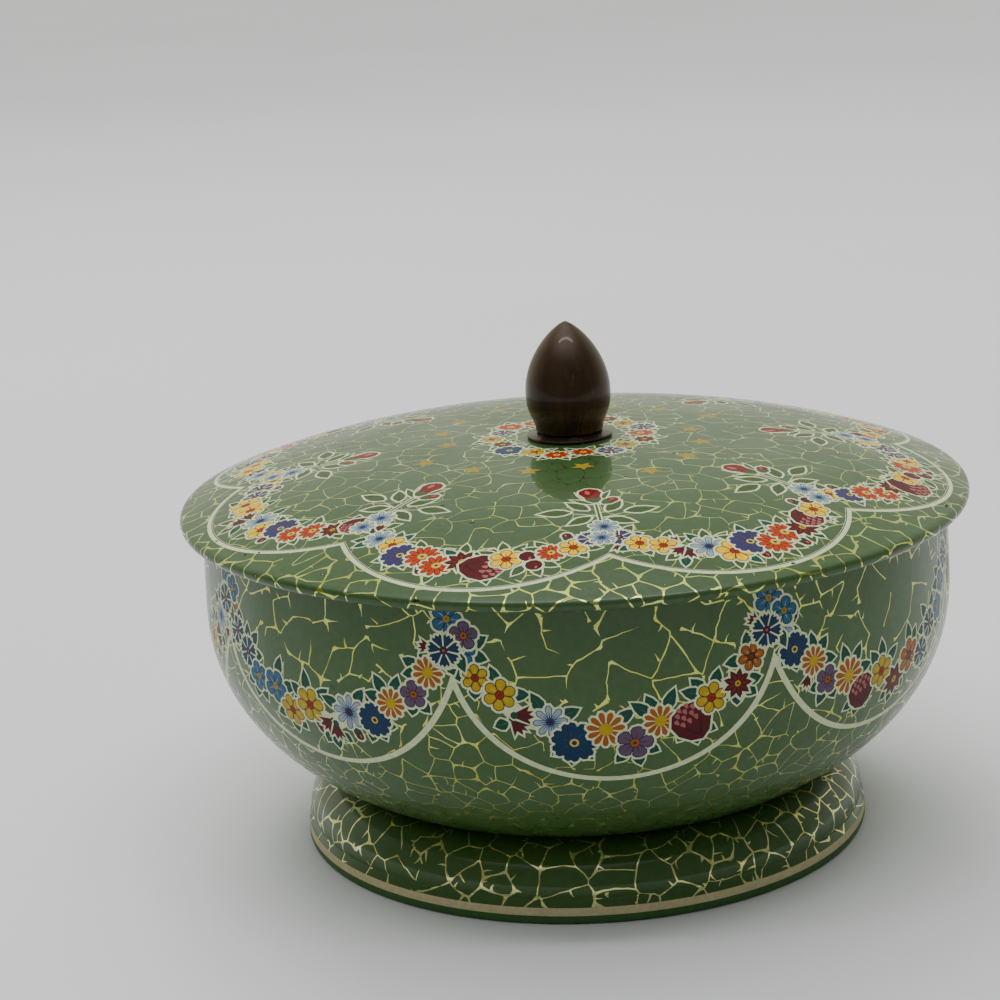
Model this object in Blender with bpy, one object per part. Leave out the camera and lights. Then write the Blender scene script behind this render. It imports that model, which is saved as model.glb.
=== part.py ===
# Footed candy tin: a round lithographed tin bowl on a pressed foot ring, closed by a
# domed lid that lifts off by a moulded knob.
# Metres, +Z up. The origin is the centre of the circle that the foot stands on.
import math

import bmesh
import bpy
from mathutils import Vector

for leftover in list(bpy.data.objects):
    bpy.data.objects.remove(leftover, do_unlink=True)

# Sheet and clearances
tinplate = 0.0004            # thickness of every pressed sheet
seam_gap = 0.0003            # gap between pieces that touch
round_steps = 56             # sides of the large turned shells
small_steps = 28             # sides of the knob and what is on its screw
merge_share = 0.01           # points closer than this share of a sheet are one point
mitre_limit_share = 0.5      # least cosine that a mitred corner is stretched by
sharp_angle = 40.0           # edges that bend more than this are shaded sharp, degrees

# Foot ring
foot_spread = 0.0089         # how far its rolled edge stands outside the bowl's flat bottom
foot_height = 0.0155         # table to the top of the flange under the bowl
foot_bead_radius = 0.0010    # rolled edge
foot_bead_flat_angle = 15.0  # half the arc of the rolled edge that is pressed flat, degrees
foot_bead_start = -210.0     # where the rolled edge's free end stands, degrees from level outward
foot_bead_in_steps = 3
foot_bead_out_steps = 2
foot_band_height = 0.0037    # table to the top of the striped band
foot_band_lean = 0.0002      # how far the band leans in
foot_crease_height = 0.0052  # table to the crease over the band
foot_crease_inset = 0.0012   # how far the crease lies inside the foot's radius
foot_shoulder_inset = 0.0008 # how far the shoulder's widest point lies inside the foot's radius
foot_shoulder_height = 0.0093
foot_shoulder_steps = 6
foot_flange_width = 0.0100   # flat flange that the bowl's bottom is welded to
foot_flange_margin = 0.0015  # how far the flange's outside lies inside the bowl's flat bottom

# Bowl
belly_radius = 0.0826        # widest radius
belly_height = 0.0398        # bowl's bottom to its widest level
bottom_radius = 0.0547       # flat bottom that stands on the foot
sweep_drop_power = 2.12
sweep_width_power = 2.29
bowl_depth = 0.0608          # bowl's bottom to the centre of its rolled rim
bowl_lean = 0.0009           # how far the wall draws in from the belly to the rim
bowl_bead_radius = 0.0011
bowl_bead_turn = 270.0       # arc of the rolled rim, degrees
bowl_bead_steps = 6
sweep_steps = 9              # from the flat bottom to the widest level
wall_steps = 3               # from the widest level to the rim

# Lid
lid_overhang = 0.0035        # how far the lid's edge stands outside the bowl's rolled rim
lid_bead_radius = 0.0014
lid_bead_turn = 240.0        # arc of the rolled edge, degrees
lid_bead_start = 60.0        # where the dome runs into the rolled edge, degrees above level
lid_bead_steps = 8
lid_rise = 0.0112            # rolled edge's top to the middle of the lid
lid_dome_power = 3.0
lid_point_power = 0.8        # spaces the dome's points closer towards the edge
dome_steps = 8

# Ring that keeps the lid centred in the bowl
ring_play = 0.0008           # radial play inside the bowl's wall
ring_depth = 0.0070          # how far its wall hangs below its flange
ring_flange_width = 0.0055
ring_lead_in = 0.0006        # how far the lower edge is turned in
ring_lead_height = 0.0012

# Knob
knob_height = 0.0243
knob_belly_radius = 0.0094
knob_neck_radius = 0.0074
knob_belly_height = 0.0090
knob_tip_radius = 0.0004
knob_point_power = 1.85
knob_round_power = 0.75
knob_neck_power = 1.5
knob_lower_steps = 6
knob_upper_steps = 10

# Collar under the knob
collar_sheet = 0.0005
collar_dish = 0.0004         # how far its rim lies below its seat for the knob
collar_seat_margin = 0.0002  # how far its flat seat passes the knob's neck
collar_brim = 0.0018         # width of its drooping rim outside the seat

# Screw, its washer and the threaded insert in the knob
screw_radius = 0.0020
screw_end_gap = 0.0006       # between the screw's tip and the top of the knob's bore
screw_head_radius = 0.0040
screw_head_height = 0.0022
screw_head_edge = 0.0005     # rounding of the head
slot_width = 0.0010
slot_depth = 0.0011
washer_radius = 0.0060
washer_thickness = 0.0008
insert_wall = 0.0012
insert_length = 0.0095
cut_overrun = 0.0010         # how far a cutter passes the face it cuts


def lerp(low, high, share):
    return low + (high - low) * share


def arc(center_r, center_z, radius, start, stop, count):
    # Points on a circle in the half plane (r, z), angles in degrees from level outward.
    points = []
    for index in range(count + 1):
        angle = math.radians(lerp(start, stop, index / count))
        points.append((center_r + radius * math.cos(angle), center_z + radius * math.sin(angle)))
    return points


def offset_line(line, distance):
    # The line moved to its right-hand side by a distance, with mitred corners.
    moved = []
    last = len(line) - 1
    for index, point in enumerate(line):
        before = Vector(line[max(index - 1, 0)])
        after = Vector(line[min(index + 1, last)])
        here = Vector(point)
        into = (here - before) if index > 0 else (after - here)
        out = (after - here) if index < last else (here - before)
        into.normalize()
        out.normalize()
        side_in = Vector((into.y, -into.x))
        side_out = Vector((out.y, -out.x))
        mitre = side_in + side_out
        mitre.normalize()
        reach = distance / max(mitre.dot(side_in), mitre_limit_share)
        moved.append((here.x + mitre.x * reach, here.y + mitre.y * reach))
    return moved


def sheet_outline(line, thickness):
    # Closed outline of a pressed sheet: its face, then its other face back again.
    inner = offset_line(line, thickness)
    if line[0][0] == 0.0:
        inner[0] = (0.0, inner[0][1])
    return line + inner[::-1]


def turned(name, outline, steps):
    # Turns a closed outline of (r, z) points about the Z axis.
    mesh = bpy.data.meshes.new(name)
    work = bmesh.new()
    verts = [work.verts.new((r, 0.0, z)) for r, z in outline]
    edges = []
    for index, vert in enumerate(verts):
        following = verts[(index + 1) % len(verts)]
        if vert.co.x > 0.0 or following.co.x > 0.0:
            edges.append(work.edges.new((vert, following)))
    bmesh.ops.spin(work, geom=verts + edges, cent=(0.0, 0.0, 0.0), axis=(0.0, 0.0, 1.0),
                   angle=math.tau, steps=steps, use_merge=True)
    bmesh.ops.remove_doubles(work, verts=work.verts, dist=tinplate * merge_share)
    bmesh.ops.recalc_face_normals(work, faces=work.faces)
    work.to_mesh(mesh)
    work.free()
    mesh.shade_smooth()
    mesh.set_sharp_from_angle(angle=math.radians(sharp_angle))
    piece = bpy.data.objects.new(name, mesh)
    bpy.context.scene.collection.objects.link(piece)
    return piece


def finish(piece, color, roughness, metallic):
    material = bpy.data.materials.new(piece.name)
    material.use_nodes = True
    shader = material.node_tree.nodes["Principled BSDF"]
    shader.inputs["Base Color"].default_value = (*color, 1.0)
    shader.inputs["Roughness"].default_value = roughness
    shader.inputs["Metallic"].default_value = metallic
    piece.data.materials.append(material)
    return piece


foot_radius = bottom_radius + foot_spread            # outside of the foot's rolled edge


def foot_line():
    # Outside of the foot, from the rolled edge inside the foot up to the flange.
    bead_r = foot_radius - foot_bead_radius
    bead_z = foot_bead_radius * math.cos(math.radians(foot_bead_flat_angle))
    rolled = arc(bead_r, bead_z, foot_bead_radius, foot_bead_start,
                 -90.0 - foot_bead_flat_angle, foot_bead_in_steps)
    rolled += arc(bead_r, bead_z, foot_bead_radius, -90.0 + foot_bead_flat_angle, 0.0,
                  foot_bead_out_steps)
    band = [(foot_radius - foot_band_lean, foot_band_height)]
    crease = [(foot_radius - foot_crease_inset, foot_crease_height)]
    top_r = bottom_radius - foot_flange_margin
    shoulder_reach = foot_radius - foot_shoulder_inset - top_r
    middle_z = foot_height - foot_shoulder_height
    shoulder = []
    for index in range(foot_shoulder_steps + 1):
        angle = math.radians(lerp(0.0, 90.0, index / foot_shoulder_steps))
        shoulder.append((top_r + shoulder_reach * math.cos(angle),
                         middle_z + foot_shoulder_height * math.sin(angle)))
    flange = [(top_r - foot_flange_width, foot_height)]
    return rolled + band + crease + shoulder + flange


def make_foot():
    # Read from the flange down, the line has the foot's inside on its right.
    outline = sheet_outline(foot_line()[::-1], tinplate)
    return finish(turned("foot", outline, round_steps), (0.07, 0.13, 0.07), 0.25, 0.3)


bowl_bottom = foot_height + seam_gap
bowl_rim_z = bowl_bottom + bowl_depth
bottom_share = 1.0 - (bottom_radius / belly_radius) ** sweep_width_power
sweep_depth = belly_height / bottom_share ** (1.0 / sweep_drop_power)


def sweep_radius(height):
    # The bowl's outer radius at a height over its bottom, up to the widest level.
    drop = (belly_height - height) / sweep_depth
    return belly_radius * (1.0 - drop ** sweep_drop_power) ** (1.0 / sweep_width_power)


bowl_wall_top = belly_radius - bowl_lean             # wall's outer radius at the rim
bowl_bead_r = bowl_wall_top - tinplate + bowl_bead_radius


def bowl_line():
    # Outer face of the bowl, from the middle of its bottom to the rolled rim's end.
    line = [(0.0, bowl_bottom)]
    for index in range(sweep_steps + 1):
        turn = math.radians(lerp(0.0, 90.0, index / sweep_steps))
        height = belly_height * (1.0 - math.cos(turn))
        line.append((sweep_radius(height), bowl_bottom + height))
    for index in range(1, wall_steps):
        share = index / wall_steps
        line.append((belly_radius - bowl_lean * share ** 2,
                     bowl_bottom + lerp(belly_height, bowl_depth, share)))
    inner_bead = bowl_bead_radius - tinplate
    line += arc(bowl_bead_r, bowl_rim_z, inner_bead, 180.0, 180.0 - bowl_bead_turn,
                bowl_bead_steps)
    return line


def make_bowl():
    outline = sheet_outline(bowl_line(), -tinplate)
    return finish(turned("bowl", outline, round_steps), (0.10, 0.17, 0.09), 0.25, 0.3)


lid_radius = bowl_bead_r + bowl_bead_radius + lid_overhang
dome_radius = lid_radius - lid_bead_radius           # where the dome springs from the bead


def dome_fall(radius):
    # How far the lid's top lies below its middle at a radius.
    return lid_rise * (radius / dome_radius) ** lid_dome_power


def dome_slope(radius):
    return lid_dome_power * dome_fall(radius) / radius


# The lid rests on the bowl's rolled rim, which its inner face touches at the bead's centre line.
lid_lean_at_rim = math.atan(dome_slope(bowl_bead_r))
lid_over_bead = (bowl_bead_radius + seam_gap + tinplate) / math.cos(lid_lean_at_rim)
lid_top = bowl_rim_z + lid_over_bead + dome_fall(bowl_bead_r)
lid_bead_z = lid_top - lid_rise - lid_bead_radius
lid_hole_radius = screw_radius + seam_gap


def lid_line():
    # Top face of the lid, from its screw hole to the end of its rolled edge.
    line = []
    bead = arc(dome_radius, lid_bead_z, lid_bead_radius, lid_bead_start,
               lid_bead_start - lid_bead_turn, lid_bead_steps)
    edge = bead[0]
    for index in range(dome_steps):
        share = (index / dome_steps) ** lid_point_power
        radius = lerp(lid_hole_radius, edge[0], share)
        line.append((radius, lid_top - dome_fall(radius)))
    return line + bead


def make_lid():
    outline = sheet_outline(lid_line(), tinplate)
    return finish(turned("lid", outline, round_steps), (0.14, 0.21, 0.13), 0.25, 0.3)


ring_radius = belly_radius - bowl_lean - tinplate - ring_play


def ring_line():
    # Outer face of the ring: its flange follows the lid's inner face, its wall hangs down.
    line = []
    for radius in (ring_radius - ring_flange_width, ring_radius - ring_flange_width / 2, ring_radius):
        clear = (tinplate + seam_gap) / math.cos(math.atan(dome_slope(radius)))
        line.append((radius, lid_top - dome_fall(radius) - clear))
    bottom = line[-1][1] - ring_depth
    line.append((ring_radius, bottom + ring_lead_height))
    line.append((ring_radius - ring_lead_in, bottom))
    return line


def make_ring():
    outline = sheet_outline(ring_line(), tinplate)
    return finish(turned("lid_locating_ring", outline, round_steps), (0.62, 0.58, 0.48), 0.35, 1.0)


washer_top = lid_top - tinplate - seam_gap
head_top = washer_top - washer_thickness - seam_gap
collar_bottom = lid_top + seam_gap
collar_top = collar_bottom + collar_dish + collar_sheet
knob_base = collar_top + seam_gap
insert_radius = screw_radius + seam_gap + insert_wall
insert_base = knob_base
bore_radius = insert_radius + seam_gap
bore_top = insert_base + insert_length + seam_gap
screw_tip = bore_top - screw_end_gap
collar_seat_radius = knob_neck_radius + collar_seat_margin
collar_radius = collar_seat_radius + collar_brim


def knob_radius(height):
    # The acorn's radius at a height over its base.
    if height < knob_belly_height:
        down = 1.0 - height / knob_belly_height
        ease = (1.0 - math.cos(math.pi * down ** knob_neck_power)) / 2
        return lerp(knob_belly_radius, knob_neck_radius, ease)
    up = (height - knob_belly_height) / (knob_height - knob_belly_height)
    return knob_belly_radius * (1.0 - up ** knob_point_power) ** knob_round_power


def make_knob():
    outline = [(0.0, bore_top), (bore_radius, bore_top), (bore_radius, knob_base)]
    for index in range(knob_lower_steps):
        height = knob_belly_height * index / knob_lower_steps
        outline.append((knob_radius(height), knob_base + height))
    for index in range(knob_upper_steps):
        share = math.sin(math.radians(lerp(0.0, 90.0, index / knob_upper_steps)))
        height = lerp(knob_belly_height, knob_height, share)
        outline.append((max(knob_radius(height), knob_tip_radius), knob_base + height))
    outline.append((0.0, knob_base + knob_height))
    return finish(turned("knob", outline, small_steps), (0.045, 0.022, 0.014), 0.3, 0.0)


def make_insert():
    outline = [(insert_radius, insert_base), (insert_radius, insert_base + insert_length),
               (lid_hole_radius, insert_base + insert_length), (lid_hole_radius, insert_base)]
    return finish(turned("knob_insert", outline, small_steps), (0.70, 0.50, 0.22), 0.35, 1.0)


def make_collar():
    # A shallow dished washer: flat under the knob, drooping to its rim on the lid.
    line = [(lid_hole_radius, collar_top), (collar_seat_radius, collar_top),
            (collar_radius - collar_sheet, collar_bottom + collar_sheet),
            (collar_radius, collar_bottom + collar_sheet)]
    under = [(collar_radius, collar_bottom), (collar_radius - collar_sheet, collar_bottom),
             (collar_seat_radius, collar_top - collar_sheet),
             (lid_hole_radius, collar_top - collar_sheet)]
    return finish(turned("knob_collar", line + under, small_steps), (0.06, 0.035, 0.025), 0.35, 0.6)


def make_washer():
    outline = [(washer_radius, washer_top), (lid_hole_radius, washer_top),
               (lid_hole_radius, washer_top - washer_thickness),
               (washer_radius, washer_top - washer_thickness)]
    return finish(turned("screw_washer", outline, small_steps), (0.55, 0.55, 0.54), 0.35, 1.0)


def make_screw():
    head_bottom = head_top - screw_head_height
    outline = [(0.0, head_bottom), (screw_head_radius - screw_head_edge, head_bottom),
               (screw_head_radius, head_bottom + screw_head_edge), (screw_head_radius, head_top),
               (screw_radius, head_top), (screw_radius, screw_tip - screw_head_edge),
               (screw_radius - screw_head_edge, screw_tip), (0.0, screw_tip)]
    screw = finish(turned("knob_screw", outline, small_steps), (0.60, 0.58, 0.52), 0.3, 1.0)
    cutter_mesh = bpy.data.meshes.new("slot_cutter")
    work = bmesh.new()
    bmesh.ops.create_cube(work, size=1.0)
    length = 2 * (screw_head_radius + cut_overrun)
    height = slot_depth + cut_overrun
    bmesh.ops.scale(work, vec=(length, slot_width, height), verts=work.verts)
    work.to_mesh(cutter_mesh)
    work.free()
    cutter = bpy.data.objects.new("slot_cutter", cutter_mesh)
    cutter.location = (0.0, 0.0, head_bottom + slot_depth - height / 2)
    cutter.hide_render = True
    cutter.display_type = "WIRE"
    bpy.context.scene.collection.objects.link(cutter)
    slot = screw.modifiers.new("slot", "BOOLEAN")
    slot.operation = "DIFFERENCE"
    slot.object = cutter
    return screw


def make_lid_lift():
    # The lid's pieces ride on one empty on the axis that the lid is lifted along.
    lift = bpy.data.objects.new("lid_lift", None)
    lift.location = (0.0, 0.0, bowl_rim_z)
    bpy.context.scene.collection.objects.link(lift)
    bpy.context.view_layer.update()
    for maker in (make_lid, make_ring, make_knob, make_insert, make_collar, make_washer, make_screw):
        piece = maker()
        piece.parent = lift
        piece.matrix_parent_inverse = lift.matrix_world.inverted()
    return lift


make_foot()
make_bowl()
make_lid_lift()
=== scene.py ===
# Looks of a footed candy tin, printed in flat inks over gold crackle on green lacquer.
# The print is cut into the faces of the shells, so that its edges are real edges.
import math
import random

import bmesh
import bpy
import numpy as np
from mathutils import Matrix, Vector
from mathutils.bvhtree import BVHTree
from mathutils.geometry import delaunay_2d_cdt


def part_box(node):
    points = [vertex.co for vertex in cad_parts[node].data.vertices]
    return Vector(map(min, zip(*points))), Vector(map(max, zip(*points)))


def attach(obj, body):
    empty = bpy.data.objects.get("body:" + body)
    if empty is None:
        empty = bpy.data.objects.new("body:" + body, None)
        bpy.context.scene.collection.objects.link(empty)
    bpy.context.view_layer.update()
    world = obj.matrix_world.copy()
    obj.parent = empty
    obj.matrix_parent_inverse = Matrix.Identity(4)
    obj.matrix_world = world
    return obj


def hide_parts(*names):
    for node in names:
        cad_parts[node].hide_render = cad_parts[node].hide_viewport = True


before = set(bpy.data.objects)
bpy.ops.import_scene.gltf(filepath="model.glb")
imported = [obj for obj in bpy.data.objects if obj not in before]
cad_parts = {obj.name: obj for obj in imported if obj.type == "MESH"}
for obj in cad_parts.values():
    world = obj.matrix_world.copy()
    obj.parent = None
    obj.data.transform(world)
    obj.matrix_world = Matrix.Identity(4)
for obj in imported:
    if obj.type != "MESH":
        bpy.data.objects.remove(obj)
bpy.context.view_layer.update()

mm = 0.001               # lengths in this script are in mm, and meshes are made in metres
print("frame loaded:", ", ".join(sorted(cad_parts)))


def newObject(name, held):
    thing = bpy.data.objects.new(name, held)
    bpy.context.scene.collection.objects.link(thing)
    return thing


def nodeBox(node):
    low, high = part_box(node)
    return low / mm, high / mm


def lerp(low, high, share):
    return low + (high - low) * share


def polar(reach, turn, x=0.0, y=0.0):
    return x + reach * math.cos(turn), y + reach * math.sin(turn)


# lines of (r, z) points, which are turned about the axis

fineStep = 0.08          # spacing of the points of an eased line
leastRadius = 5.0        # the flat of a strip isn't stretched further inside this radius


def arc(centerR, centerZ, radius, start, stop, count):
    turns = [math.radians(lerp(start, stop, index / count)) for index in range(count + 1)]
    return [polar(radius, turn, centerR, centerZ) for turn in turns]


def lengthsAlong(line):
    return np.concatenate([[0.0], np.cumsum(np.hypot(*np.diff(line, axis=0).T))])


def eased(points, reach):
    # The line through some points, drawn finely, with its corners eased over a reach.
    line = np.array(points, float)
    distance = lengthsAlong(line)
    even = np.linspace(0.0, distance[-1], int(distance[-1] / fineStep) + 1)
    fine = np.stack([np.interp(even, distance, column) for column in line.T], 1)
    width = max(int(reach / fineStep), 1)
    kernel = np.hanning(2 * width + 3)[1:-1]
    kernel /= kernel.sum()
    before = 2 * fine[0] - fine[width:0:-1]
    after = 2 * fine[-1] - fine[-2:-width - 2:-1]
    padded = np.concatenate([before, fine, after])
    return np.stack([np.convolve(column, kernel, "valid") for column in padded.T], 1)


def newTrack(line, side, plane="strip", radius=1.0):
    # An eased line with its lengths, its outward normals and the flat distances that prints are drawn in.
    # The outside is on the line's right where side is 1, and on its left where side is -1.
    distance = lengthsAlong(line)
    along = np.gradient(line, distance, axis=0)
    along /= np.hypot(along[:, 0], along[:, 1])[:, None]
    normal = side * np.stack([along[:, 1], -along[:, 0]], 1)
    if plane == "disc":
        flat = distance + line[0, 0]
    else:
        stretch = radius / np.maximum(line[:, 0], leastRadius)
        flat = np.concatenate([[0.0], np.cumsum(np.diff(distance) * (stretch[1:] + stretch[:-1]) / 2)])
    return {"line": line, "distance": distance, "normal": normal, "flat": flat, "side": side,
            "plane": plane, "radius": radius}


def trackAt(track, where, measure="distance"):
    # Radius, height and outward normal at some places along a track.
    scale = track[measure]
    return [np.interp(where, scale, column) for held in ("line", "normal") for column in track[held].T]


def placeAtHeight(track, height, measure="flat"):
    # Where a track first crosses a height.
    z = track["line"][:, 1]
    for index in range(len(z) - 1):
        low, high = sorted((z[index], z[index + 1]))
        if low <= height <= high and high > low:
            share = (height - z[index]) / (z[index + 1] - z[index])
            return lerp(track[measure][index], track[measure][index + 1], share)
    raise ValueError("the track never reaches that height")


def rowPlaces(track, low, high, look):
    # Where the rows of a mesh lie: close together where the line bends, far apart where it runs straight.
    places = [low]
    lastR, lastZ = (float(v) for v in trackAt(track, low)[2:])
    for distance, (normalR, normalZ) in zip(track["distance"], track["normal"]):
        if low < distance < high - fineStep:
            turned = math.degrees(math.acos(min(max(normalR * lastR + normalZ * lastZ, -1.0), 1.0)))
            if turned > look["bend"] or distance - places[-1] > look["stride"]:
                places.append(float(distance))
                lastR, lastZ = normalR, normalZ
    return places + [high]


# outlines in the flat, as lists of (x, y) points

sharpest = 0.6           # a grown outline's corners reach out by no more than one over this


def area(points):
    total = 0.0
    for (x0, y0), (x1, y1) in zip(points, points[1:] + points[:1]):
        total += x0 * y1 - x1 * y0
    return total / 2


def grow(points, distance):
    # A closed outline moved outward by a distance, with its sharp corners cut short.
    side = 1.0 if area(points) > 0 else -1.0
    moved = []
    for index, (x, y) in enumerate(points):
        (px, py), (nx, ny) = points[index - 1], points[(index + 1) % len(points)]
        ax, ay, bx, by = x - px, y - py, nx - x, ny - y
        la, lb = math.hypot(ax, ay) or 1.0, math.hypot(bx, by) or 1.0
        mx, my = ay / la + by / lb, -ax / la - bx / lb
        size = math.hypot(mx, my) or 1.0
        mx, my = mx / size, my / size
        fit = max(mx * ay / la - my * ax / la, sharpest)
        moved.append((x + side * mx * distance / fit, y + side * my * distance / fit))
    return moved


def placed(points, turn, spot=(0.0, 0.0), scale=1.0):
    cosT, sinT = math.cos(turn) * scale, math.sin(turn) * scale
    x, y = spot
    return [(x + a * cosT - b * sinT, y + a * sinT + b * cosT) for a, b in points]


def put(target, shapes, spot, turn=0.0):
    target.extend((ink, placed(points, turn, spot)) for ink, points in shapes)


def circle(radius, count, inner=1.0):
    # A ring of points, every second one drawn in by a factor.
    return [polar(radius * (inner if index % 2 else 1.0), math.tau * index / count) for index in range(count)]


def bothSides(points):
    # An outline that is the same on both sides of the X axis, from one side of it.
    return points + [(x, -y) for x, y in reversed(points) if abs(y) > 1e-6]


def isInside(x, y, ring):
    within = False
    px, py = ring[-1]
    for qx, qy in ring:
        if (qy > y) != (py > y) and x < (px - qx) * (y - qy) / (py - qy) + qx:
            within = not within
        px, py = qx, qy
    return within


def boxOf(points):
    xs, ys = zip(*points)
    return min(xs), max(xs), min(ys), max(ys)


# node materials

def newMaterial(name):
    material = bpy.data.materials.new(name)
    material.use_nodes = True
    return material, material.node_tree, material.node_tree.nodes["Principled BSDF"]


def feed(tree, node, sockets):
    # Sets each named socket to a value, or links it to another node's socket.
    for name, value in sockets.items():
        if isinstance(value, bpy.types.NodeSocket):
            tree.links.new(value, node.inputs[name])
        else:
            node.inputs[name].default_value = value


def addNode(tree, kind, sockets, **settings):
    node = tree.nodes.new("ShaderNode" + kind)
    for name, value in settings.items():
        setattr(node, name, value)
    feed(tree, node, sockets)
    return node


def addNoise(tree, scale, detail=2.0, rough=0.5, stretch=(1.0, 1.0, 1.0)):
    coords = addNode(tree, "TexCoord", {})
    mapping = addNode(tree, "Mapping", {"Vector": coords.outputs["Object"], "Scale": stretch})
    noise = addNode(tree, "TexNoise", {"Vector": mapping.outputs["Vector"], "Scale": scale,
                                       "Detail": detail, "Roughness": rough})
    return noise.outputs["Fac"]


def addRange(tree, value, fromLow, fromHigh, toLow=0.0, toHigh=1.0):
    ranger = addNode(tree, "MapRange", {"Value": value, "From Min": fromLow, "From Max": fromHigh,
                                        "To Min": toLow, "To Max": toHigh})
    return ranger.outputs["Result"]


def addMix(tree, factor, first, second):
    ends = {"A": first, "B": second}
    for name, value in ends.items():
        if isinstance(value, tuple):
            ends[name] = (*value, 1.0)
    return addNode(tree, "Mix", {"Factor": factor, **ends}, data_type="RGBA").outputs["Result"]


def layered(tree, tone, *layers):
    # A colour with others laid over it, each as strongly as its noise says.
    for noise, span, colour in layers:
        tone = addMix(tree, addRange(tree, addNoise(tree, *noise), *span), tone, colour)
    return tone


def addBump(tree, shader, height, strength, distance):
    bump = addNode(tree, "Bump", {"Height": height, "Strength": strength, "Distance": distance})
    feed(tree, shader, {"Normal": bump.outputs["Normal"]})


varnish = {"coatRoughness": 0.025, "peelScale": 260.0, "peelStrength": 0.04, "peelDepth": 0.0003,
           "rubScale": 60.0}
varnishOver = {          # for each kind of print: its own roughness, the weight of the coat, its own mirror
    "ground": ((0.34, 0.52), 0.5, 0.15), "ink": ((0.34, 0.52), 0.28, 0.03), "gold": ((0.10, 0.24), 0.5, 0.15)}


def addVarnish(tree, shader, kind):
    # Clear stoved varnish over the print: a sharp coat with a slight orange peel.
    roughness, coat, specular = varnishOver[kind]
    rub = addNoise(tree, varnish["rubScale"], 4.0)
    feed(tree, shader, {"Specular IOR Level": specular, "Coat Weight": coat,
                        "Coat Roughness": varnish["coatRoughness"],
                        "Roughness": addRange(tree, rub, 0.3, 0.7, *roughness)})
    peel = addNoise(tree, varnish["peelScale"], 2.0)
    addBump(tree, shader, peel, varnish["peelStrength"], varnish["peelDepth"])


def groundMaterial(name, green, shade, lift, worn):
    # Green lacquer: slow drifts of tone, fine mottling, dark specks and a few rubbed streaks.
    material, tree, shader = newMaterial(name)
    tone = layered(tree, green, ((22.0, 3.0), (0.35, 0.65), shade),
                   ((700.0, 3.0), (0.35, 0.75, 0.0, 0.5), lift),
                   ((170.0, 4.0, 0.6), (0.70, 0.74, 0.0, 0.65), worn),
                   ((40.0, 6.0, 0.7, (1.0, 4.0, 7.0)), (0.70, 0.78, 0.0, 0.5), worn))
    feed(tree, shader, {"Base Color": tone})
    addVarnish(tree, shader, "ground")
    return material


def inkMaterial(name, colour):
    # Ink from a roller: a little uneven, and thinner in specks.
    material, tree, shader = newMaterial(name)
    darker = tuple(value * 0.78 for value in colour)
    tone = layered(tree, colour, ((900.0, 4.0, 0.7), (0.35, 0.70), darker))
    feed(tree, shader, {"Base Color": tone})
    addVarnish(tree, shader, "ink")
    return material


def goldMaterial(name, bright, dull, metallic):
    # Gold lacquer with metal in it, brighter and duller by turns.
    material, tree, shader = newMaterial(name)
    tone = layered(tree, bright, ((120.0, 4.0, 0.6), (0.38, 0.62), dull))
    feed(tree, shader, {"Base Color": tone, "Metallic": metallic})
    addVarnish(tree, shader, "gold")
    return material


def metalMaterial(name, look):
    # Bare metal with stains or tarnish, and with marks of the rolls or the lathe.
    material, tree, shader = newMaterial(name)
    tone = layered(tree, look["bright"], (look["stain"], look["stained"], look["dull"]))
    feed(tree, shader, {"Base Color": tone, "Metallic": 1.0})
    marks = addNoise(tree, *look["marks"])
    feed(tree, shader, {"Roughness": addRange(tree, marks, 0.3, 0.7, 0.22, 0.42)})
    addBump(tree, shader, marks, *look["relief"])
    return material


inkColours = {
    "cream": (0.62, 0.68, 0.41), "hairline": (0.045, 0.060, 0.045), "ochre": (0.30, 0.22, 0.02),
    # yellowLit is the yellow made brighter for the lid, painted light where the lid's top is lit more
    "yellow": (0.46, 0.315, 0.010), "straw": (0.60, 0.44, 0.06), "yellowLit": (0.88, 0.53, 0.003),
    "orange": (0.32, 0.088, 0.008), "vermilion": (0.44, 0.040, 0.002), "scarlet": (0.30, 0.012, 0.002),
    "ruby": (0.17, 0.004, 0.005), "crimson": (0.085, 0.003, 0.008), "maroon": (0.034, 0.003, 0.004),
    "rosePink": (0.36, 0.11, 0.10), "blue": (0.002, 0.028, 0.080), "skyBlue": (0.022, 0.105, 0.20),
    "indigo": (0.024, 0.020, 0.080), "pale": (0.29, 0.35, 0.41), "mauve": (0.105, 0.062, 0.11),
    # bounceLitGreen: the foot's green made lighter, painted light bounced up from the floor onto the band
    # under the stripe
    "violet": (0.036, 0.028, 0.105), "buff": (0.54, 0.48, 0.27), "bounceLitGreen": (0.046, 0.118, 0.032),
    "scuff": (0.018, 0.016, 0.010), "brown": (0.075, 0.025, 0.005), "leaf": (0.004, 0.060, 0.040),
    "deepLeaf": (0.014, 0.040, 0.014), "vein": (0.06, 0.15, 0.08), "olive": (0.048, 0.086, 0.026),
}
tinplateLook = {"bright": (0.66, 0.62, 0.52), "dull": (0.50, 0.42, 0.27), "stain": (35.0, 5.0, 0.6),
                "stained": (0.35, 0.7), "marks": (90.0, 6.0, 0.65, (1.0, 14.0, 1.0)),
                "relief": (0.08, 0.0002)}
inkOrder = ["ground", "gold"] + list(inkColours) + ["bare"]
printInks = [inkMaterial("ink_" + name, colour) for name, colour in inkColours.items()]
bareTin = metalMaterial("bare_tinplate", tinplateLook)
print("inks mixed:", len(inkOrder))


# flowers, leaves and buds: each a list of (ink, outline) in the order of printing, about the origin

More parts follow.
